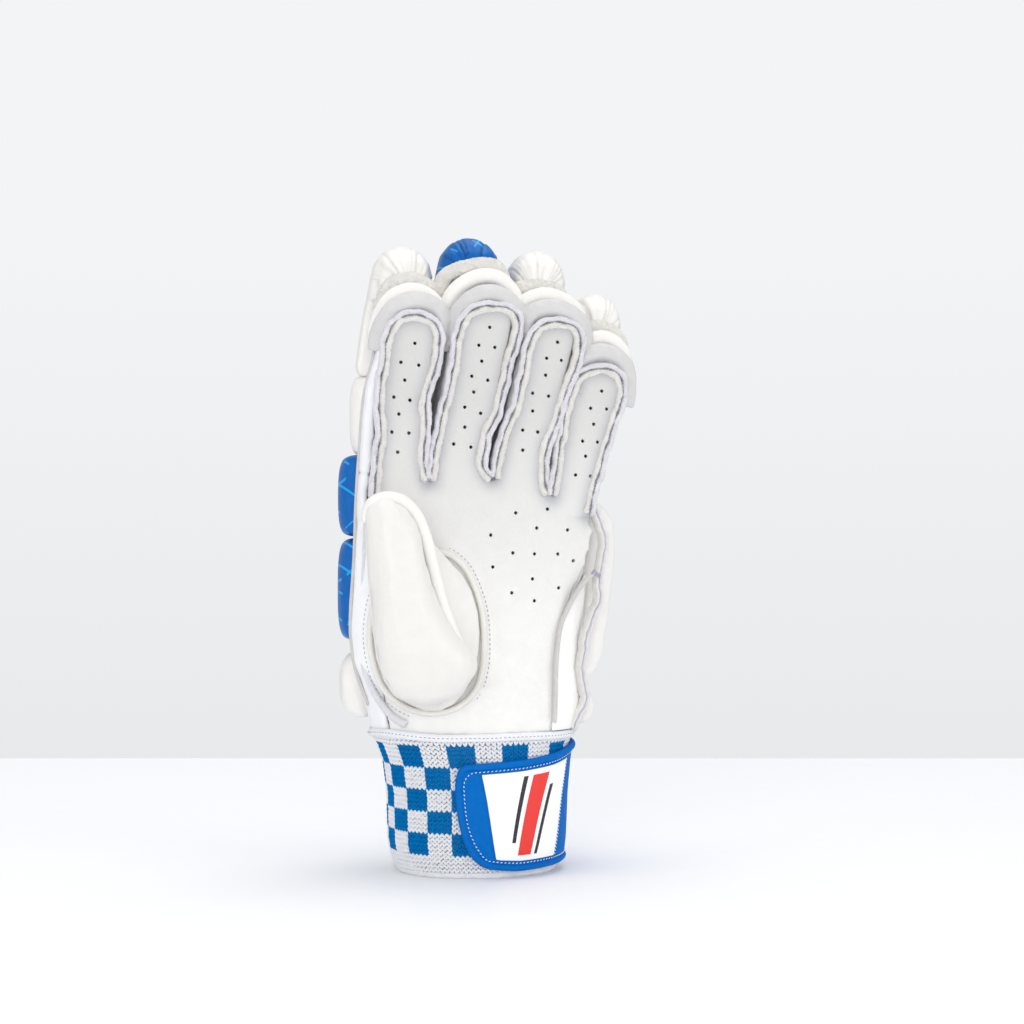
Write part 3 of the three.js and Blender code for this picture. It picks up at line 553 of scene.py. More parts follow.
# Courses of the finger seams, as (x, z)
fingerSeams = {
    "index": [
        (-52, 166), (-51.5, 177.7), (-49.4, 196), (-50, 209.5), (-48, 223.5), (-46.3, 236.2), (-43, 243.3),
        (-35.7, 246.5), (-27.4, 245), (-23.4, 239), (-23.4, 230), (-26.3, 219), (-29.9, 208), (-29, 200.1),
        (-30.2, 187), (-29.6, 178.6), (-28.1, 173.6),
    ],
    "middle": [
        (-27.4, 173.8), (-26.4, 180.4), (-25, 188.3), (-22.8, 198.8), (-20.2, 209.4),
        (-17.5, 221.3), (-15.2, 236.7),
        (-11.6, 246.5), (-2.6, 251), (7.3, 250.4), (12.8, 245), (11.4, 236.3), (8, 224.8),
        (4.8, 211), (2.4, 203),
        (-1.6, 195.1), (-3.2, 188.9), (-4.2, 182.2), (-2.4, 177.6), (0.4, 174.9),
    ],
    "ring": [
        (1.2, 175), (3, 182.3), (5.4, 193.3), (9.3, 202.7), (12.6, 213.7), (16.8, 233.3), (20.9, 241.6),
        (29.1, 244.6), (37.1, 243.4), (40.6, 238), (40.4, 230.3), (36.8, 219.7), (32.7, 209.4), (30, 200.1),
        (25.6, 190.8), (23.9, 180.2), (24.3, 173.1), (26.6, 168),
    ],
    "little": [
        (27.5, 167.3), (28.9, 175.3), (30.4, 184.2), (32.2, 194.4), (34.1, 205.5), (36.6, 213.5),
        (41.2, 221.4),
        (50.2, 224.3), (57.4, 222), (60.4, 216.4), (58.8, 207), (54.9, 196.4), (50.9, 183.4), (47.2, 170.5),
        (44.5, 158.9),
    ],
}


# How far each place is, seen from the front, from a course of (x, z)
def distanceTo(course, places):
    near = np.full(len(places), 1e9)
    for spot in smoothPath([(x, 0, z) for x, z in course], 2):
        near = np.minimum(near, (places[:, 0] - spot.x) ** 2 + (places[:, 2] - spot.z) ** 2)
    return np.sqrt(near)


# Sinks soft grooves into the front face along courses of (x, z)
def pressCreases(places, normals, courses):
    out = places.copy()
    for crease in courses:
        near = distanceTo(crease["course"], places) ** 2
        sink = crease["depth"] * np.exp(-near / crease["width"] ** 2) - 0.35 * crease["depth"] * np.exp(
            -near / (2.2 * crease["width"]) ** 2)
        front = normals[:, 1] < -0.3
        out[front] -= normals[front] * sink[front, None]
    return out


# Finger ends sit a little lower under their wraps: top of each panel and the middle of the finger there
fingerEnds = dict(index=(249.5, -35), middle=(254, -1.6), ring=(247.1, 28.6), little=(226.6, 52))
endSettle = 5
endReach = 30
seamShadeWidth = 4.6
palmSide = dict(spreadFrom=33, over=10, spread=9, low=122, high=163, fade=12)
weltSide = dict(spreadFrom=36, over=8, spread=3.4, low=104, high=172, fade=12)


def settleEnds(places, fingers):
    ends = np.array([fingerEnds[finger] for finger in fingers])
    nearest = np.abs(places[:, [0]] - ends[:, 1]).argmin(axis=1)
    share = np.clip((places[:, 2] - ends[nearest, 0] + endReach) / endReach, 0, 1)
    out = places.copy()
    out[:, 2] -= endSettle * share * share * (3 - 2 * share)
    return out


# Brings the palm's edge out to the side seam
def spreadSide(places, form):
    share = np.clip((places[:, 0] - form["spreadFrom"]) / form["over"], 0, 1)
    share *= np.clip((places[:, 2] - form["low"]) / form["fade"], 0, 1)
    share *= np.clip((form["high"] - places[:, 2]) / form["fade"], 0, 1)
    out = places.copy()
    out[:, 0] += form["spread"] * share
    return out


def makePalm():
    bm = remeshed(takeNode("palm_leather"), 1.0, 16)
    reshape(bm, lambda places, normals: spreadSide(places, palmSide))
    reshape(bm, lambda places, normals: settleEnds(places, fingerNames))
    reshape(bm, lambda places, normals: pressCreases(places, normals, creases))
    surface = BVHTree.FromBMesh(bm)
    drill = bmesh.new()
    radius = airHoles["radius"]
    bmesh.ops.create_cone(
        drill, cap_ends=True, segments=12, radius1=radius, radius2=radius, depth=airHoles["depth"])
    bmesh.ops.rotate(drill, matrix=Matrix.Rotation(math.pi / 2, 3, "X"), verts=drill.verts)
    drills = scattered(drill, [
        Matrix.Translation((x, surface.ray_cast(Vector((x, -80, z)), Vector((0, 1, 0)))[0].y, z))
        for x, z in airHoles["spots"]
    ])
    drillMesh = bpy.data.meshes.new("drills")
    drills.to_mesh(drillMesh)
    drillObject = newObject("drills", drillMesh)
    bm = modified(bm, ("BOOLEAN", {"operation": "DIFFERENCE", "solver": "MANIFOLD", "object": drillObject}))
    bpy.data.objects.remove(drillObject)
    # Painted shade on the finger panels beside the seams, strongest at each seam's course, stored for the
    # palm's material
    places = np.array([vert.co[:] for vert in bm.verts])
    paintedShades = np.zeros(len(places))
    for course in fingerSeams.values():
        paintedShades = np.maximum(paintedShades, np.exp(-(distanceTo(course, places) / seamShadeWidth) ** 2))
    storePaintedShade(bm, paintedShades)
    finishPiece("palm_leather_skin", bm, [palmLook], ["palm_leather"])
    return surface


palmSurface = makePalm()
print("palm made")


# The place and the outward direction on the palm in front of (x, z)
def onPalm(x, z):
    place, normal = palmSurface.ray_cast(Vector((x, -80, z)), Vector((0, 1, 0)))[:2]
    if place is None or place.y > -17.5:
        return Vector((x, -18.6, z)), Vector((0, -1, 0))
    return place, normal


def pathOnPalm(course, step, lift=0.0, closed=False):
    flat = smoothPath([(x, 0, z) for x, z in course], step, closed)
    depth = np.array([onPalm(spot.x, spot.z)[0].y for spot in flat])
    for _ in range(6):
        depth[1:-1] = (depth[:-2] + depth[1:-1] + depth[2:]) / 3
    return [Vector((spot.x, y - lift, spot.z)) for spot, y in zip(flat, depth)]


def palmOutward(point):
    return Vector((0, -1, 0.12))


# Small stitches laid along a path
def stitchRow(path, outward, spacing, size, lift=0.0, slant=0.0):
    stitch = pill(*size)
    even = smoothPath(path, spacing)
    matrices = []
    for station in stationsAlong(even, outward):
        matrices.append(station @ Matrix.Translation((0, lift, 0)) @ Matrix.Rotation(slant, 4, "Y"))
    return scattered(stitch, matrices)


# Finger seams: a fuzzy outer lip, a smoother inner lip and the thread between them

seamForm = dict(
    step=1.1,
    lips=[
        dict(name="edge", side=1.3, width=2.5, low=-2.4, high=2.9, wave=0.3),
        dict(name="fold", side=-1.45, width=3.3, low=-2.4, high=2.3, wave=0.26),
    ],
)


def makeSeamLip(course, lip, phase):
    path = pathOnPalm(course, seamForm["step"])
    stations = stationsAlong(path, palmOutward)
    middle = (lip["low"] + lip["high"]) / 2
    section = roundProfile(lip["width"], lip["high"] - lip["low"], 10, 4)
    profile = [(x + lip["side"], y + middle) for x, y in section]
    moved = []
    for i, station in enumerate(stations):
        sway = lip["wave"] * (math.sin(i * 0.42 + phase) + 0.6 * math.sin(i * 0.93 + 2.1 * phase))
        rise = 0.35 * math.sin(i * 0.61 + 1.7 * phase)
        moved.append(station @ Matrix.Translation((sway, rise, 0)))
    bm = sweep(profile, moved)
    bm = modified(bm, ("SUBSURF", {"levels": 1, "render_levels": 1}))
    reshape(bm, lambda places, normals: places + normals * noiseSeed.normal(0, 0.13, (len(places), 1)))
    return bm


def makeFingerSeams():
    for order, (finger, course) in enumerate(fingerSeams.items()):
        lips = [makeSeamLip(course, lip, order * 1.9 + k) for k, lip in enumerate(seamForm["lips"])]
        finishPiece(f"{finger}_seam_edge", lips[0], [suedeLook], [f"{finger}_seam"])
        finishPiece(f"{finger}_seam_fold", lips[1], [seamCream], [f"{finger}_seam"])
        # Thread between the lips, in painted shade for the valley
        path = pathOnPalm(course, 1.5, 2.0)
        stitches = stitchRow(path, palmOutward, 1.5, (1.5, 0.5, 0.5), 0)
        finishPiece(f"{finger}_seam_thread", stitches, [gapThreadShade], [f"{finger}_seam"])


makeFingerSeams()
print("seams made")


# Gathered fingertip caps with the fuzzy band that closes them

tipRings = dict(
    wrap=dict(
        depth=-14.4, width=8.4, height=7.4, power=4.5, tilt=0.65,
        node="tip_wrap", slot="grey_leather", fill=None,
        index=[(-49.4, 231), (-49.2, 235.9), (-47.9, 241.2), (-45.2, 246), (-41.2, 250.4), (-34.9, 252.6),
               (-29.1, 252.6), (-23.5, 250.3), (-20.6, 245.5), (-19.9, 238), (-20, 231)],
        middle=[(-18, 233), (-17.5, 238.1), (-15.7, 243.5), (-12.1, 249.7), (-7.5, 254.3), (-2.1, 256.8),
                (3.8, 256.8), (9.6, 253.4), (13.7, 247.8), (15.4, 240.4), (14.6, 234)],
        ring=[(15.4, 234), (15.9, 239.6), (17.7, 245.8), (21.2, 249.5), (27.1, 251),
              (33.5, 250.3), (39.4, 247.2),
              (43, 242.8), (43.6, 236), (42.6, 230)],
        little=[(37.6, 219), (39.5, 224.7), (41.8, 228.2), (45.9, 230.6), (52, 231.6),
                (57.6, 230.2), (61.6, 226.7),
                (63.6, 221.4), (63.6, 213.3), (62.4, 208)],
    ),
    roll=dict(
        depth=-8.6, width=7.2, height=7.4, power=2.5, tilt=0.35,
        node="tip_roll", slot="white_padding", fill=0.8,
        index=[(-50, 234), (-49.6, 240.7), (-47.8, 246.9), (-45, 252.2), (-41.6, 255.8), (-37.1, 258),
               (-32.6, 258.4), (-27.4, 257), (-22.9, 253.1), (-20.9, 247), (-20.6, 238)],
        middle=[(-18.8, 238), (-18.6, 246.6), (-16.8, 253.8), (-14.3, 258.4), (-10.4, 261.9), (-4.6, 264.9),
                (0.9, 265.7), (6.7, 264), (12.2, 258.5), (14.8, 251), (14.6, 240)],
        ring=[(15.2, 240), (15.6, 248.1), (17.2, 253.4), (20.8, 256.2), (27.1, 257.6),
              (33.8, 256.3), (39.4, 252.8),
              (42.9, 247.6), (43.2, 236)],
        little=[(40.8, 225), (42.6, 232), (45.2, 236), (49.8, 238.2), (54.9, 238.6),
                (59.6, 236.4), (63.2, 232),
                (64.6, 226), (64.2, 214)],
    ),
)
capBands = {
    "index": [(-45.9, 248), (-45.8, 253.2), (-44.9, 257.6), (-42.7, 261.7), (-39.1, 264.4), (-32.8, 265.5),
              (-26.9, 263.4), (-22.6, 259.9), (-21.2, 253)],
    "middle": [(-19.2, 252), (-19.2, 256.4), (-19.2, 261.7), (-17.9, 266.2), (-13.7, 269.5), (-6.9, 271.7),
               (0, 272.8), (5.5, 272), (8.6, 268), (9.4, 261)],
    "ring": [(11.9, 251), (12.3, 257), (13.7, 260.6), (17, 262.5), (23.5, 263.5), (30.4, 262.8),
             (35.5, 259.7),
             (38, 254)],
    "little": [(42.3, 232), (42.6, 238), (44.6, 242.5), (48.6, 245), (53.7, 245.6), (59.1, 243.8),
               (63, 239.6), (64.2, 233)],
}
capBandSection = (7.4, 4.4, 14, 2.8)
capForm = dict(
    index=dict(pleats=17, depth=1.1),
    middle=dict(pleats=12, depth=2),
    ring=dict(pleats=16, depth=1.1),
    little=dict(pleats=13, depth=1.1),
)


# Where the gathers start under the band, how far they run and where they fade out, below it and to the back
gatherForm = dict(root=6, length=21, below=14, belowFade=8, behind=18, behindFade=14)


# Radiating gathers that fade out away from the band: 1 in the bottom of a fold
def gathers(places, middle, pleats, phase):
    root, below, behind = gatherForm["root"], gatherForm["below"], gatherForm["behind"]
    across = places[:, 0] - middle[0]
    up = places[:, 2] - middle[1]
    turn = np.arctan2(across, np.maximum(up, 0.01) + root)
    reach = np.sqrt(across ** 2 + (up + root) ** 2)
    wobble = 0.1 * np.sin(5 * turn + phase) + 0.05 * np.sin(11 * turn + 2 * phase)
    wobble += 0.01 * np.sin(reach * 0.5 + phase)
    strength = 0.62 + 0.38 * np.sin(8.3 * turn + 3 * phase)
    fold = strength * (1 - np.abs(np.sin((turn + wobble) * pleats + phase)) ** 0.5)
    fade = np.clip(1.15 - (reach - root) / gatherForm["length"], 0, 1)
    fade *= np.clip((places[:, 2] - middle[1] + below) / gatherForm["belowFade"], 0, 1)
    fade *= np.clip((behind - places[:, 1]) / gatherForm["behindFade"], 0, 1)
    return fold * fade


def bandOutward(middle):
    def outward(point):
        return Vector((0.12 * (point.x - middle[0]) / 10, -1, 0.55)).normalized()
    return outward


def makeCaps():
    for order, finger in enumerate(fingerNames):
        form = capForm[finger]
        band = capBands[finger]
        middle = ((band[0][0] + band[-1][0]) / 2, band[len(band) // 2][1])
        bm = remeshed(takeNode(f"cap_{finger}"), 0.6, 40)
        folds = gathers(np.array([vert.co[:] for vert in bm.verts]), middle, form["pleats"], 1.3 * order)
        reshape(bm, lambda places, normals: places - normals * (form["depth"] * folds)[:, None])
        # The fold depth is stored too, as painted shade in the bottoms of the gathers
        storePaintedShade(bm, folds)
        blue = finger == "middle"
        finishPiece(
            f"cap_{finger}_shell", bm, [capBlue if blue else capWhite], [f"cap_{finger}"])
        path = smoothPath([(x, -3.6 + 0.06 * abs(x - middle[0]), z - 1.4) for x, z in band], 1.0)
        stations = stationsAlong(path, bandOutward(middle))
        moved = []
        for i, station in enumerate(stations):
            sway = 0.2 * math.sin(i * 0.8 + order) + 0.12 * math.sin(i * 1.9)
            moved.append(station @ Matrix.Translation((0, sway, 0)))
        strip = modified(
            sweep(roundProfile(*capBandSection), moved), ("SUBSURF", {"levels": 2, "render_levels": 2}))
        reshape(strip, lambda places, normals: places + normals * noiseSeed.normal(0, 0.15, (len(places), 1)))
        finishPiece(f"cap_{finger}_band", strip, [bandLook], [f"cap_{finger}"])


# Forward and away from the middle of a finger's tip
def tipOutward(course, tilt):
    centre = Vector((sum(x for x, z in course) / len(course), 0, min(z for x, z in course)))

    def outward(point):
        radial = Vector((point.x - centre.x, 0, point.z - centre.z)).normalized()
        return Vector((0, -1, 0)) + tilt * radial
    return outward


# Padded rings over each fingertip, in front of the cap
def makeTipRings():
    for kind, ring in tipRings.items():
        for order, finger in enumerate(fingerNames):
            course = ring[finger]
            top = max(z for x, z in course)
            path = smoothPath([(x, ring["depth"] + 0.07 * (top - z), z) for x, z in course], 1.2)
            stations = []
            for i, station in enumerate(stationsAlong(path, tipOutward(course, ring["tilt"]))):
                end = min(i, len(path) - 1 - i)
                full = min(1, 0.55 + 0.12 * end) if kind == "roll" else 1
                sway = 0.16 * math.sin(i * 0.5 + 2 * order) + 0.1 * math.sin(i * 1.3 + order)
                station = station @ Matrix.Translation((0, sway, 0))
                stations.append(station @ Matrix.Diagonal((full, full, 1, 1)))
            tube = sweep(roundProfile(ring["width"], ring["height"], 16, ring["power"]), stations)
            tube = modified(tube, ("SUBSURF", {"levels": 1, "render_levels": 1}))
            look = greyLeather if kind == "wrap" else whiteLeather
            node = f"{ring['node']}_{finger}"
            finishPiece(f"{node}_ring", tube, [look], [node])


makeTipRings()
print("tip rings made")

makeCaps()
print("caps made")


# Stuffed pads, blown up a little as cloth and kept close to their solids

simScale = 0.01
padForm = dict(start=0.985, pressure=4, cap=1.1, frames=20)
pads = {
    "wrist_roll": dict(voxel=3.2, blue=False),
    "side_pad_upper": dict(voxel=2.4, blue=False),
    "side_pad_lower": dict(voxel=2.0, blue=False),
    "thumb_pad": dict(voxel=3.0, blue=False),
}
for fingerName in fingerNames:
    pads[f"finger_roll_{fingerName}"] = dict(voxel=2.6, blue=False)
    pads[f"knuckle_bar_{fingerName}"] = dict(voxel=2.8, blue=True)
    pads[f"back_bar_{fingerName}"] = dict(voxel=2.8, blue=True)


def clothPad(name, plan):
    bm = remeshed(takeNode(name), plan["voxel"], 3)
    middle = sum((vert.co for vert in bm.verts), Vector()) / len(bm.verts)
    bmesh.ops.translate(bm, vec=-middle, verts=bm.verts)
    bmesh.ops.scale(bm, vec=(padForm["start"],) * 3, verts=bm.verts)
    bmesh.ops.translate(bm, vec=middle, verts=bm.verts)
    bm.transform(Matrix.Scale(simScale, 4))
    mesh = bpy.data.meshes.new("pad")
    bm.to_mesh(mesh)
    bm.free()
    obj = newObject("pad_" + name, mesh)
    cloth = obj.modifiers.new("cloth", "CLOTH")
    cloth.settings.quality = 6
    cloth.settings.mass = 0.3
    cloth.settings.tension_stiffness = 12
    cloth.settings.compression_stiffness = 12
    cloth.settings.shear_stiffness = 4
    cloth.settings.bending_stiffness = 0.3
    cloth.settings.shrink_min = -0.035
    cloth.settings.use_pressure = True
    cloth.settings.uniform_pressure_force = padForm["pressure"]
    cloth.settings.effector_weights.gravity = 0
    cloth.point_cache.frame_start = 1
    cloth.point_cache.frame_end = padForm["frames"]
    return obj


# Every pad is simulated in one pass of the frames; the result is a mesh for each
def simulatePads():
    workers = {name: clothPad(name, plan) for name, plan in pads.items()}
    starts = {name: np.array([vert.co[:] for vert in obj.data.vertices]) for name, obj in workers.items()}
    scene = bpy.context.scene
    for number in range(1, padForm["frames"] + 1):
        scene.frame_set(number)
    shapes = {}
    graph = bpy.context.evaluated_depsgraph_get()
    for name, obj in workers.items():
        mesh = bpy.data.meshes.new_from_object(obj.evaluated_get(graph))
        ends = np.array([vert.co[:] for vert in mesh.vertices])
        move = (ends - starts[name]) / simScale
        length = np.linalg.norm(move, axis=1, keepdims=True)
        move *= np.minimum(1, padForm["cap"] / np.maximum(length, 1e-6))
        for vert, spot in zip(mesh.vertices, starts[name] / simScale + move):
            vert.co = spot
        bm = bmesh.new()
        bm.from_mesh(mesh)
        bpy.data.meshes.remove(mesh)
        shapes[name] = modified(bm, ("SUBSURF", {"levels": 2, "render_levels": 2}))
    for obj in workers.values():
        bpy.data.objects.remove(obj)
    scene.frame_set(1)
    return shapes


padShapes = simulatePads()
print("pads simulated")
for padName, shape in padShapes.items():
    if padName != "thumb_pad":
        blue = pads[padName]["blue"]
        finishPiece(
            f"{padName}_stuffed", shape, [blueLeather if blue else whiteLeather], [padName])


# Pieces that keep their solid's form, smoothed

wallForm = dict(
    heights=[78, 94, 160, 200, 216, 240],
    reach=[0, 4.4, 4.6, 6.5, 5, 0],
    reachFrom=[-50, -50, -50, -47, -45, -45],
    reachOver=7, front=6, depth=10,
)


# Brings the side wall on the thumb side out beside the bars, as the photo shows it
def widenWall(places, normals):
    form = wallForm
    edge = np.interp(places[:, 2], form["heights"], form["reachFrom"])
    share = np.clip((edge - places[:, 0]) / form["reachOver"], 0, 1)
    share *= np.clip((form["front"] - places[:, 1]) / form["depth"], 0, 1)
    out = places.copy()
    out[:, 0] -= np.interp(places[:, 2], form["heights"], form["reach"]) * share
    return out


# The hand's wall also closes up against the finger walls above it
def shapeGusset(places, normals):
    out = widenWall(places, normals)
    out[:, 2] += gussetRise["rise"] * np.clip((places[:, 2] - gussetRise["above"]) / gussetRise["over"], 0, 1)
    return out


gussetRise = dict(above=160, over=12, rise=1.8)
plainPieces = {
    "gusset": dict(
        nodes=["hand_gusset"], voxel=1.2, smooth=10, look=gussetLook, slot="back_cloth", shift=shapeGusset),
    "back": dict(nodes=["back_cloth"], voxel=1.2, smooth=10, look=backLook, slot="back_cloth"),
    "heel_patch": dict(nodes=["heel_patch"], voxel=0.7, smooth=10, look=patchLook, slot="palm_leather"),
    "side_welt": dict(nodes=["side_welt"], voxel=0.7, smooth=8, look=suedeLook, slot="seam_suede"),
}
for fingerName in fingerNames:
    plainPieces[f"stall_{fingerName}"] = dict(
        nodes=[f"finger_gusset_{fingerName}"], voxel=0.9, smooth=12, look=gussetLook, slot="back_cloth",
        end=fingerName)

plainPieces["stall_index"]["shift"] = widenWall
plainPieces["side_welt"]["shift"] = lambda places, normals: spreadSide(places, weltSide)

for pieceName, plan in plainPieces.items():
    shape = remeshed(takeNode(*plan["nodes"]), plan["voxel"], plan["smooth"])
    if "end" in plan:
        reshape(shape, lambda places, normals: settleEnds(places, [plan["end"]]))
    if "shift" in plan:
        reshape(shape, plan["shift"])
    finishPiece(f"{pieceName}_visual", shape, [plan["look"]], plan["nodes"])
print("plain pieces made")


# Thumb: padded back, the leather tube behind it, its piping and the rolled edge of the palm's opening

thumbForm = dict(
    swell=1.1, widenFrom=-34, widenAt=98, widenHeight=40, widen=3.4, trimFrom=-46, trimOver=12, trim=3,
    creases=[
        dict(course=[(-44, 156), (-45, 135), (-44, 112)], depth=0.6, width=5),
        dict(course=[(-45, 164), (-42, 157), (-36, 153)], depth=0.5, width=1.6),
        dict(course=[(-49, 160), (-44, 154), (-40, 152)], depth=0.35, width=1.4),
        dict(course=[(-56, 158), (-50, 155), (-46, 151)], depth=0.25, width=1.8),
    ],
)
pipingCourse = [
    (-57.6, 156), (-57, 160.5), (-54.4, 164.2), (-50.5, 166.4), (-45.5, 166.6), (-40, 164.3), (-34.8, 158.1),
    (-31.2, 149.1), (-28.5, 138.7), (-24.6, 123.3), (-19.8, 109.5), (-15.4, 100), (-12.4, 95),
]
pipingForm = dict(
    section=(5.8, 7, 14, 2.4), front=-38.2, left=1.5, low=0.5, bow=0.03, bowMiddle=120,
    stitches=(0.3, -3.15, 0),
)
rimCourse = [
    (-27, 143.5), (-22, 143), (-16.9, 140.9), (-11.1, 135.2), (-6.6, 125.9), (-3.9, 116.2), (-3, 103.9),
    (-3.9, 92), (-7.5, 81.9), (-15.1, 75), (-25.3, 71.7), (-35.6, 72.8), (-43.9, 77.3), (-50.1, 85.2),
    (-53.8, 97), (-54.6, 110), (-52, 124), (-45, 136), (-36, 142),
]


rimForm = dict(
    section=(2.6, 3.2, 12, 2.2), inward=0.7, stitches=(2.8, -0.75, 0),
    facing=[(-0.2, 0.2), (-5.6, -4.2), (-6.4, -5.6), (-0.8, -1.6)],
)


# Draws in the thumb's outer side
def trimThumb(places, normals):
    share = np.clip((thumbForm["trimFrom"] - places[:, 0]) / thumbForm["trimOver"], 0, 1)
    out = places.copy()
    out[:, 0] += thumbForm["trim"] * share
    return out


def swellThumb(places, normals):
    form = thumbForm
    out = trimThumb(places + form["swell"] * normals, normals)
    across = np.clip((places[:, 0] - form["widenFrom"]) / 20, 0, 1)
    near = np.exp(-((places[:, 2] - form["widenAt"]) / form["widenHeight"]) ** 2)
    out[:, 0] += form["widen"] * across * near
    return pressCreases(out, normals, form["creases"])


def makeThumb():
    pad = padShapes["thumb_pad"]
    reshape(pad, swellThumb)
    finishPiece("thumb_pad_shell", pad, [thumbLook], ["thumb_pad"])
    stall = modified(
        takeNode("thumb_stall"),
        ("REMESH", {"mode": "VOXEL", "voxel_size": 0.36}),
        ("SMOOTH", {"factor": 0.5, "iterations": 30}),
        ("DECIMATE", {"ratio": 0.3}),
    )
    reshape(stall, trimThumb)
    finishPiece("thumb_stall_tube", stall, [thumbLook], ["thumb_stall"])
    front, left, low = pipingForm["front"], pipingForm["left"], pipingForm["low"]
    bow, bowMiddle = pipingForm["bow"], pipingForm["bowMiddle"]
    path = smoothPath([(x - left, front - bow * abs(z - bowMiddle), z - low) for x, z in pipingCourse], 1.3)
    piping = sweep(roundProfile(*pipingForm["section"]), stationsAlong(
        path, lambda point: Vector((0.25, -1, 0.05)), size=lambda share: min(1, 0.35 + 7 * share)))
    finishPiece("thumb_piping_roll", piping, [whiteLeather], ["thumb_piping"])
    threadPath = [point + Vector(pipingForm["stitches"]) for point in path]
    stitches = stitchRow(threadPath, lambda point: Vector((0, -1, 0)), 2.4, (1.4, 0.34, 0.3))
    finishPiece("thumb_piping_thread", stitches, [threadLook], ["thumb_piping"])


def makeRim():
    path = pathOnPalm(rimCourse, 1.4, 0.9, closed=True)
    inward = Matrix.Translation((-rimForm["inward"], 0, 0))
    stations = [station @ inward for station in stationsAlong(path, palmOutward, closed=True)]
    roll = sweep(roundProfile(*rimForm["section"]), stations, closed=True)
    finishPiece("thumb_rim_roll", roll, [rimLook], ["thumb_rim"])
    flange = sweep(rimForm["facing"], stations, closed=True)
    finishPiece("thumb_rim_facing", flange, [patchLook], ["thumb_rim"])
    outside = [station @ Vector(rimForm["stitches"]) for station in stations]
    stitches = stitchRow(outside + outside[:1], palmOutward, 2.1, (1.25, 0.42, 0.42))
    finishPiece("thumb_rim_stitches", stitches, [threadInPaintedShade], ["thumb_rim"])


rimLook = plainLook("rim_leather", "#efede8", "#dddad3", 0.6, grainGroup, {"Wrinkles": 200}, 0.5)
makeThumb()
makeRim()
print("thumb made")


# Heel patch welt and the raised seam along the little finger side

heelCourse = [(47.5, 133.5), (42.5, 129), (37.8, 122.6), (34, 115.2), (31.2, 108.1), (29.3, 95), (28.4, 82),
              (27.6, 72.1), (26.8, 63)]
sideCourse = [
    (49, 161, -16), (53.4, 152, -15.4), (54, 145, -15), (53.2, 138.6, -15), (51.4, 132.3, -15.6),
    (51.6, 120.6, -15), (47.4, 111.2, -16), (44.6, 101.4, -16.6), (43.2, 87, -17), (45.4, 77.5, -16.6),
    (42, 70.4, -17.6), (38.6, 63.4, -18.6),
]


# Thin seam down the side wall on the thumb side
wallCourse = [(-49, 240), (-51.3, 227.5), (-53.1, 209.8), (-54.4, 187.6), (-56.2, 165.5), (-58.4, 139),
              (-59.3, 112.5), (-58.4, 90.4), (-54.8, 72.6)]


def makeWallSeam():
    wall = remeshed(takeNode("hand_gusset", "finger_gusset_index"), 1.2, 10)
    reshape(wall, widenWall)
    surface = BVHTree.FromBMesh(wall)
    wall.free()
    course = [surface.find_nearest(Vector((x - 6, -9, z)))[0] for x, z in wallCourse]
    path = smoothPath(course, 1.4)
    stations = stationsAlong(path, lambda point: surface.find_nearest(point)[1])
    welt = sweep([(x, y + 0.25) for x, y in roundProfile(1.7, 1.7, 8)], stations)
    finishPiece("wall_seam_welt", welt, [heelLook], ["hand_gusset"])
    thread = stitchRow([point + surface.find_nearest(point)[1] * 0.3 + Vector((0, 1.9, 0)) for point in path],
                       lambda point: surface.find_nearest(point)[1], 2.3, (1.3, 0.4, 0.4))
    finishPiece("wall_seam_thread", thread, [threadInPaintedShade], ["hand_gusset"])


makeWallSeam()


def makeHeelWelt():
    path = pathOnPalm(heelCourse, 1.3, 1.5)
    welt = sweep(roundProfile(2.3, 3.2, 12, 2.2), stationsAlong(path, palmOutward))
    finishPiece("heel_welt_roll", welt, [heelLook], ["heel_welt"])
    tack = stitchRow([Vector((45.8, path[0].y - 1.6, 133.6)), Vector((49.4, path[0].y - 1, 131.6))],
                     lambda point: Vector((0, -1, 0)), 0.62, (2.6, 0.5, 0.5), slant=math.pi / 2)
    finishPiece("heel_bar_tack", tack, [threadInPaintedShade], ["heel_welt"])


# The side seam's two lips: name, offset across, width, height and look
sideLips = [("edge", 1.0, 1.9, 2.6, suedeLook), ("fold", -1.0, 2.2, 2.2, seamCream)]


def makeSideSeam():
    path = smoothPath([(x - 1.8, y, z) for x, z, y in sideCourse], 1.1)
    outward = Vector((0.45, -1, 0))
    stations = []
    for i, station in enumerate(stationsAlong(path, lambda point: outward)):
        sway = 0.3 * math.sin(i * 0.55) + 0.2 * math.sin(i * 1.3)
        stations.append(station @ Matrix.Translation((sway, 0, 0)))
    for part, side, width, high, look in sideLips:
        profile = [(x + side, y + high / 2 - 1) for x, y in roundProfile(width, high + 2, 10, 3)]
        lip = modified(sweep(profile, stations), ("SUBSURF", {"levels": 1, "render_levels": 1}))
        finishPiece(f"side_seam_{part}", lip, [look], ["heel_patch"])


makeHeelWelt()
makeSideSeam()
print("heel made")


# Cuff: a knitted tube of V stitches in a check

cuffForm = dict(
    centre=-1.3, halfWidth=39.5, halfDepth=33.5, height=62, power=2.2,
    rows=[
        (0, 0.94, 0.86, 0.93), (8.06, 1, 0.9, 0.985), (14.88, 1.03, 0.92, 1), (34.72, 1.04, 0.94, 1),
        (49.6, 1.09, 0.975, 1), (57.04, 1.16, 1.01, 1.005), (62, 1.24, 1.07, 1.015),
    ],
)
knitForm = dict(
    columns=110, checkColumns=22, firstTurn=-24.1, rowHeight=1.92, checkLow=10.2, lowRows=4, highRows=2,
    checkRows=5, stitchesPerCheck=5, leg=(2.9, 1.22, 1.3), lean=27, spread=0.5,
)


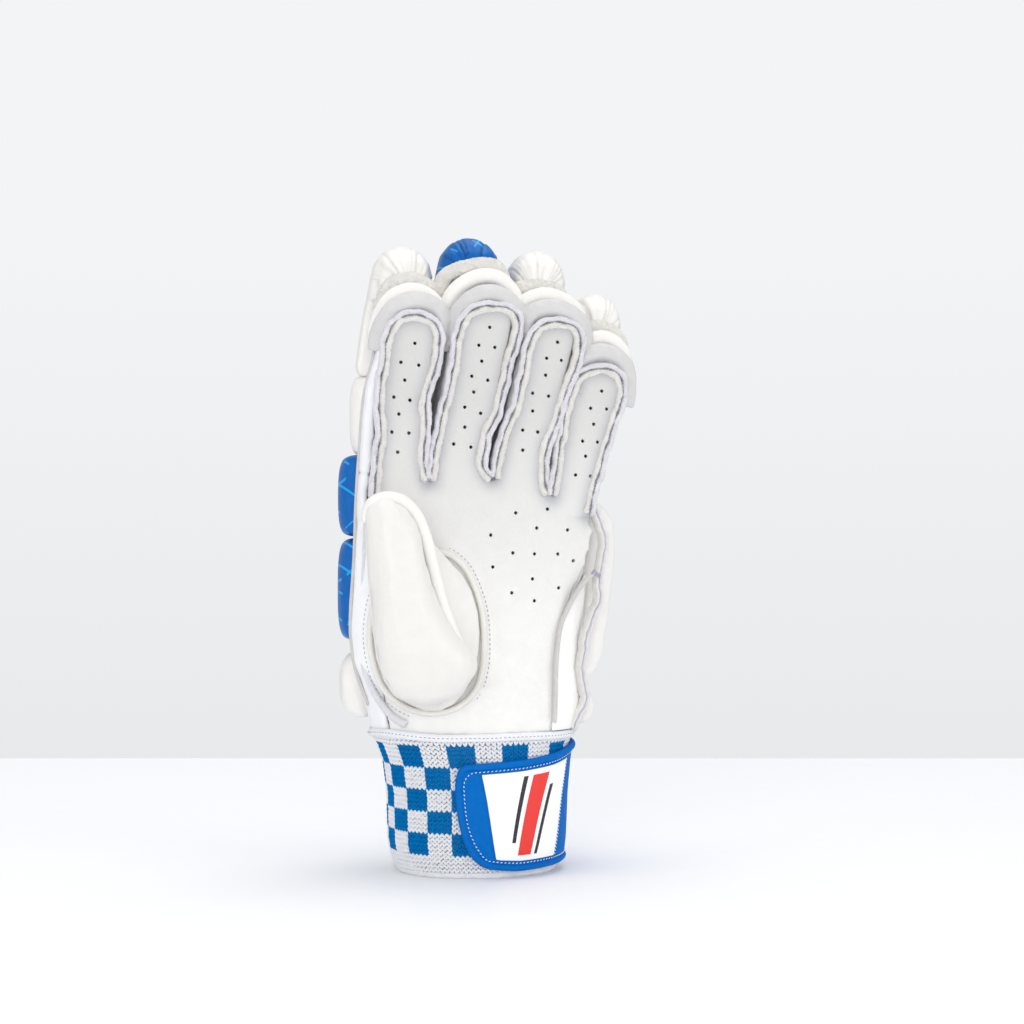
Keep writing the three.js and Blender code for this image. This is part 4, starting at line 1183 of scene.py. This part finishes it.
# A point on the cuff: turn in degrees from the front towards the little finger, height and distance out
def onCuff(turn, z, out):
    heights, lefts, rights, depths = zip(*cuffForm["rows"])
    left = cuffForm["centre"] - cuffForm["halfWidth"] * np.interp(z, heights, lefts)
    right = cuffForm["centre"] + cuffForm["halfWidth"] * np.interp(z, heights, rights)
    depth = cuffForm["halfDepth"] * np.interp(z, heights, depths) + out
    across, ahead = math.sin(math.radians(turn)), math.cos(math.radians(turn))
    power = cuffForm["power"]
    grow = (abs(across) ** power + abs(ahead) ** power) ** (-1 / power)
    half = (right - left) / 2 + out
    return Vector(((left + right) / 2 + half * across * grow, -depth * ahead * grow, z))


# A frame on the cuff: X round it, Y out of it, Z up it
def cuffStation(turn, z, out):
    place = onCuff(turn, z, out)
    around = (onCuff(turn + 0.5, z, out) - place).normalized()
    up = (onCuff(turn, z + 0.5, out) - place).normalized()
    station = Matrix((around, up.cross(around), up)).transposed().to_4x4()
    station.translation = place
    return station


strapEdge = dict(
    high=[(-18.6, 38), (-18.2, 43), (-16.6, 46.6), (-13, 48.4), (0, 49), (19, 49.8), (42, 51.6),
          (60, 54), (90, 56),
          (145, 52.4), (200, 51)],
    low=[(-18.6, 38), (-17.8, 30), (-16.2, 23.5), (-12.6, 15), (-8, 9.6), (-2.4, 6.8), (6, 5.6), (19, 4.9),
         (46, 5.6), (70, 6.4), (115, 7.6), (200, 8)],
    end=-18.6, far=198, thickness=2.2, pipe=1.55,
)


def edgeAt(side, turn):
    turns, heights = zip(*strapEdge[side])
    return float(np.interp(turn, turns, heights))


def underStrap(turn, z):
    turn = (turn + 90) % 360 - 90
    return -12 < turn < 190 and edgeAt("low", turn) + 3 < z < edgeAt("high", turn) - 3


def makeKnit():
    base = remeshed(takeNode("cuff"), 1.0, 8)
    reshape(base, lambda places, normals: places - 0.35 * normals)
    # The ground under the stitches, coloured as painted shade in the gaps between them
    finishPiece("cuff_ground_painted_shade", base, [knitGroundShade], ["cuff"])
    form = knitForm
    legs = {True: [], False: []}
    step = 360 / form["columns"]
    for row in range(-form["lowRows"], form["checkRows"] * form["stitchesPerCheck"] + form["highRows"]):
        z = form["checkLow"] + form["rowHeight"] * (row + 0.5)
        band = row // form["stitchesPerCheck"]
        for column in range(form["columns"]):
            turn = form["firstTurn"] + step * (column + 0.5)
            if underStrap(turn, z):
                continue
            check = 0 <= band < form["checkRows"] and (band + column // form["stitchesPerCheck"]) % 2 == 0
            slip = noiseSeed.normal(0, 0.06, 3)
            station = cuffStation(turn + slip[0], z + slip[1], 0.1 + 0.5 * abs(slip[2]))
            for side in (-1, 1):
                legs[check].append(
                    station
                    @ Matrix.Translation((side * form["spread"], 0, 0))
                    @ Matrix.Rotation(math.radians(side * form["lean"] + 60 * slip[2]), 4, "Y")
                )
    leg = pill(*form["leg"])
    finishPiece("cuff_knit_blue", scattered(leg, legs[True]), [knitBlue], ["cuff"])
    finishPiece("cuff_knit_white", scattered(leg, legs[False]), [knitWhite], ["cuff"])


def makeHem():
    base = remeshed(takeNode("cuff_hem"), 0.8, 3)
    finishPiece("cuff_hem_base", base, [knitWhite], ["cuff_hem"])
    rib = pill(3.0, 0.62, 0.7)
    ribs = [cuffStation(turn, 1.65, -0.15) for turn in np.arange(0, 360, 1.5)]
    finishPiece("cuff_hem_ribs", scattered(rib, ribs), [knitWhite], ["cuff_hem"])


# Seam where the knit is sewn to the hand, higher on the thumb side
def makeCuffSeam():
    turns = np.arange(0, 360, 6)
    rise = [1.4 * math.exp(-((turn - 300) / 30) ** 2) + 0.25 * math.sin(turn * 0.09) for turn in turns]
    ring = [onCuff(turn, 61.6 + up, 0.5) for turn, up in zip(turns, rise)]
    middle = Vector((cuffMiddleX, 0, 61))
    path = smoothPath(ring, 1.5, closed=True)
    tape = sweep(
        roundProfile(3.6, 2.0, 12, 2.6),
        stationsAlong(path, lambda point: Vector((point.x - middle.x, point.y, 0)), closed=True), closed=True)
    finishPiece("cuff_top_tape", tape, [knitWhite], ["cuff"])
    thread = stitchRow(
        [point + Vector((point.x - middle.x, point.y, 0)).normalized() * 1.0 for point in path],
        lambda point: Vector((point.x - middle.x, point.y, 0)), 2.0, (1.3, 0.42, 0.42))
    finishPiece("cuff_top_thread", thread, [threadInPaintedShade], ["cuff"])


# A plate bent round the cuff; spot gives turn and height for a place (0 to 1, 0 to 1) on it
def bentPlate(spot, inner, outer, columns, rows):
    bm = bmesh.new()
    bmesh.ops.create_grid(bm, x_segments=columns, y_segments=rows, size=0.5)
    uvLayer = bm.loops.layers.uv.new("UVMap")
    for vert in bm.verts:
        u, v = vert.co.x + 0.5, vert.co.y + 0.5
        for loop in vert.link_loops:
            loop[uvLayer].uv = (u, v)
        turn, z = spot(u, v)
        vert.co = onCuff(turn, z, outer)
    bmesh.ops.recalc_face_normals(bm, faces=bm.faces)
    if bm.faces[:][0].normal.y * bm.faces[:][0].calc_center_median().y < 0:
        bmesh.ops.reverse_faces(bm, faces=bm.faces)
    edgeSize = min(0.45, 0.3 * (outer - inner))
    return modified(
        bm,
        ("SOLIDIFY", {"thickness": outer - inner, "offset": -1}),
        ("BEVEL", {"width": edgeSize, "segments": 2, "limit_method": "ANGLE"}),
    )


def strapSpot(u, v):
    turn = strapEdge["end"] + (strapEdge["far"] - strapEdge["end"]) * u ** 1.3
    low, high = edgeAt("low", turn), edgeAt("high", turn)
    return turn, low + (high - low) * v


labelCorners = dict(lowLeft=3.4, highLeft=-5, lowRight=46, highRight=56, inset=2.9)


def labelSpot(u, v):
    corners = labelCorners
    left = corners["lowLeft"] + (corners["highLeft"] - corners["lowLeft"]) * v
    right = corners["lowRight"] + (corners["highRight"] - corners["lowRight"]) * v
    turn = left + (right - left) * u
    low, high = edgeAt("low", turn) + corners["inset"], edgeAt("high", turn) - corners["inset"]
    return turn, low + (high - low) * v


# The course of the strap's edge from the back, round its free end and to the back again
def strapCourse(inset, out, far=196):
    turns = [far - 8 * i for i in range(int((far + 10) / 8) + 1)]
    course = [(turn, edgeAt("high", turn) - inset) for turn in turns]
    endPoints = [
        (-13, 48.4), (-16.4, 46.6), (-18.2, 42), (-18.4, 36),
        (-17.6, 29), (-16, 22.8), (-12.4, 15), (-8, 9.8),
    ]
    degrees = inset / 0.66
    for turn, z in endPoints:
        drop = inset if z > 45 else -0.6 * inset if z < 16 else 0
        course.append((turn + degrees, z - drop))
    course += [(turn, edgeAt("low", turn) + inset) for turn in [-2, 4, 12] + list(range(20, far, 8))]
    return [onCuff(turn, z, out) for turn, z in course]


def cuffOutward(point):
    return Vector((point.x - cuffMiddleX, point.y, 0))


def makeStrap():
    face = 0.4 + strapEdge["thickness"]
    strap = bentPlate(strapSpot, 0.4, face, 90, 14)
    finishPiece("strap_band", strap, [strapLook], ["strap"])
    label = bentPlate(labelSpot, face + 0.1, face + 0.75, 40, 12)
    finishPiece("strap_label_film", label, [labelLook], ["strap_label"])
    course = smoothPath(strapCourse(-0.4, face - 0.6), 1.4)
    width = 2 * strapEdge["pipe"]
    pipe = sweep(roundProfile(width, width + 0.5, 12), stationsAlong(course, cuffOutward))
    finishPiece("strap_piping_roll", pipe, [strapLook], ["strap_piping"])
    inside = smoothPath(strapCourse(1.75, face + 0.12), 1.4)
    whiteRow = stitchRow(inside, cuffOutward, 1.8, (1.05, 0.5, 0.5), 0, 0.35)
    farLow = edgeAt("low", 52) + 3.4
    farEdge = [onCuff(58 - 10 * (1 - v), farLow + 41 * v, face + 0.15) for v in np.linspace(0, 1, 12)]
    farRow = stitchRow(farEdge, cuffOutward, 1.5, (2.4, 0.6, 0.5), 0, 1.1)
    finishPiece("strap_stitches", joinedMesh(whiteRow, farRow), [threadLook], ["strap"])


makeKnit()
makeHem()
makeCuffSeam()
makeStrap()
print("cuff and strap made")


# Table, world, lights and camera

tableForm = dict(size=(4, 2.0, 0.03), middle=(0, -0.55, -0.015), turn=-12)


def addTable():
    bm = bmesh.new()
    bmesh.ops.create_cube(bm, size=1)
    bmesh.ops.scale(bm, vec=tableForm["size"], verts=bm.verts)
    bmesh.ops.translate(bm, vec=tableForm["middle"], verts=bm.verts)
    bmesh.ops.bevel(
        bm, geom=bm.edges, offset=0.002, offset_type="OFFSET", segments=2, profile=0.5, material=-1,
        affect="EDGES",
    )
    bmesh.ops.rotate(bm, matrix=Matrix.Rotation(math.radians(tableForm["turn"]), 3, "Z"), verts=bm.verts)
    mesh = bpy.data.meshes.new("table")
    bm.to_mesh(mesh)
    bm.free()
    table = newObject("table", mesh)
    grain = {"Pore Depth": 0.02, "Wrinkle Depth": 0.1}
    mesh.materials.append(plainLook("table_top", "#f6f7f9", "#f3f4f6", 0.55, grainGroup, grain, 0.05))


def addWorld():
    world = bpy.data.worlds.new("studio")
    bpy.context.scene.world = world
    world.use_nodes = True
    tree = world.node_tree
    background = tree.nodes["Background"]
    direction = addNode(tree, "ShaderNodeTexCoord").outputs["Generated"]
    height = addNode(tree, "ShaderNodeSeparateXYZ", {0: direction}).outputs["Z"]
    share = addNode(tree, "ShaderNodeMapRange", {"Value": height, "From Min": -0.16, "From Max": 0.12})
    wall = mixColour(tree, share.outputs["Result"], hexColour("#e6e7e9"), hexColour("#f3f4f6"))
    tree.links.new(wall, background.inputs["Color"])
    seen = addNode(tree, "ShaderNodeLightPath").outputs["Is Camera Ray"]
    strength = addNode(tree, "ShaderNodeMapRange", {"Value": seen, "To Min": 0.62, "To Max": 1})
    tree.links.new(strength.outputs["Result"], background.inputs["Strength"])


def addLight(name, place, target, size, power):
    data = bpy.data.lights.new(name, "AREA")
    data.shape = "RECTANGLE"
    data.size, data.size_y = size
    data.energy = power
    lamp = bpy.data.objects.new(name, data)
    lamp.location = place
    lamp.rotation_euler = (Vector(target) - Vector(place)).to_track_quat("-Z", "Y").to_euler()
    bpy.context.scene.collection.objects.link(lamp)


def addSun(name, towards, strength):
    data = bpy.data.lights.new(name, "SUN")
    data.energy = strength
    data.angle = math.radians(60)
    lamp = bpy.data.objects.new(name, data)
    lamp.rotation_euler = Vector(towards).to_track_quat("Z", "Y").to_euler()
    bpy.context.scene.collection.objects.link(lamp)


# Place in the glove's frame in metres, turn in degrees
cameraForm = dict(place=(-0.1947, -0.9809, 0.1602), turn=-12, lens=77.9, sensor=36)


def addCamera():
    data = bpy.data.cameras.new("photo_camera")
    data.lens = cameraForm["lens"]
    data.sensor_width = cameraForm["sensor"]
    camera = bpy.data.objects.new("photo_camera", data)
    shift = gloveShift * 0.001
    x, y, z = cameraForm["place"]
    camera.location = (x + shift.x, y + shift.y, z)
    camera.rotation_euler = (math.radians(90), 0, math.radians(cameraForm["turn"]))
    bpy.context.scene.collection.objects.link(camera)
    bpy.context.scene.camera = camera


addTable()
addWorld()
addLight("key", (-0.55, -1.3, 0.55), (0, 0, 0.06), (0.9, 0.7), 6.2)
addLight("fill", (1.2, -1.0, 0.35), (0, 0, 0.08), (0.9, 0.6), 5)
addLight("top", (0.0, 0.3, 1.7), (0, 0, 0.0), (1.4, 1.4), 6)
addLight("side", (-1.5, -0.4, 0.4), (0, 0, 0.12), (0.6, 0.6), 1.8)
addSun("ceiling", (0.15, 0.1, 1), 0.92)
addCamera()
bpy.context.scene.view_settings.view_transform = "Standard"
print("stage set")
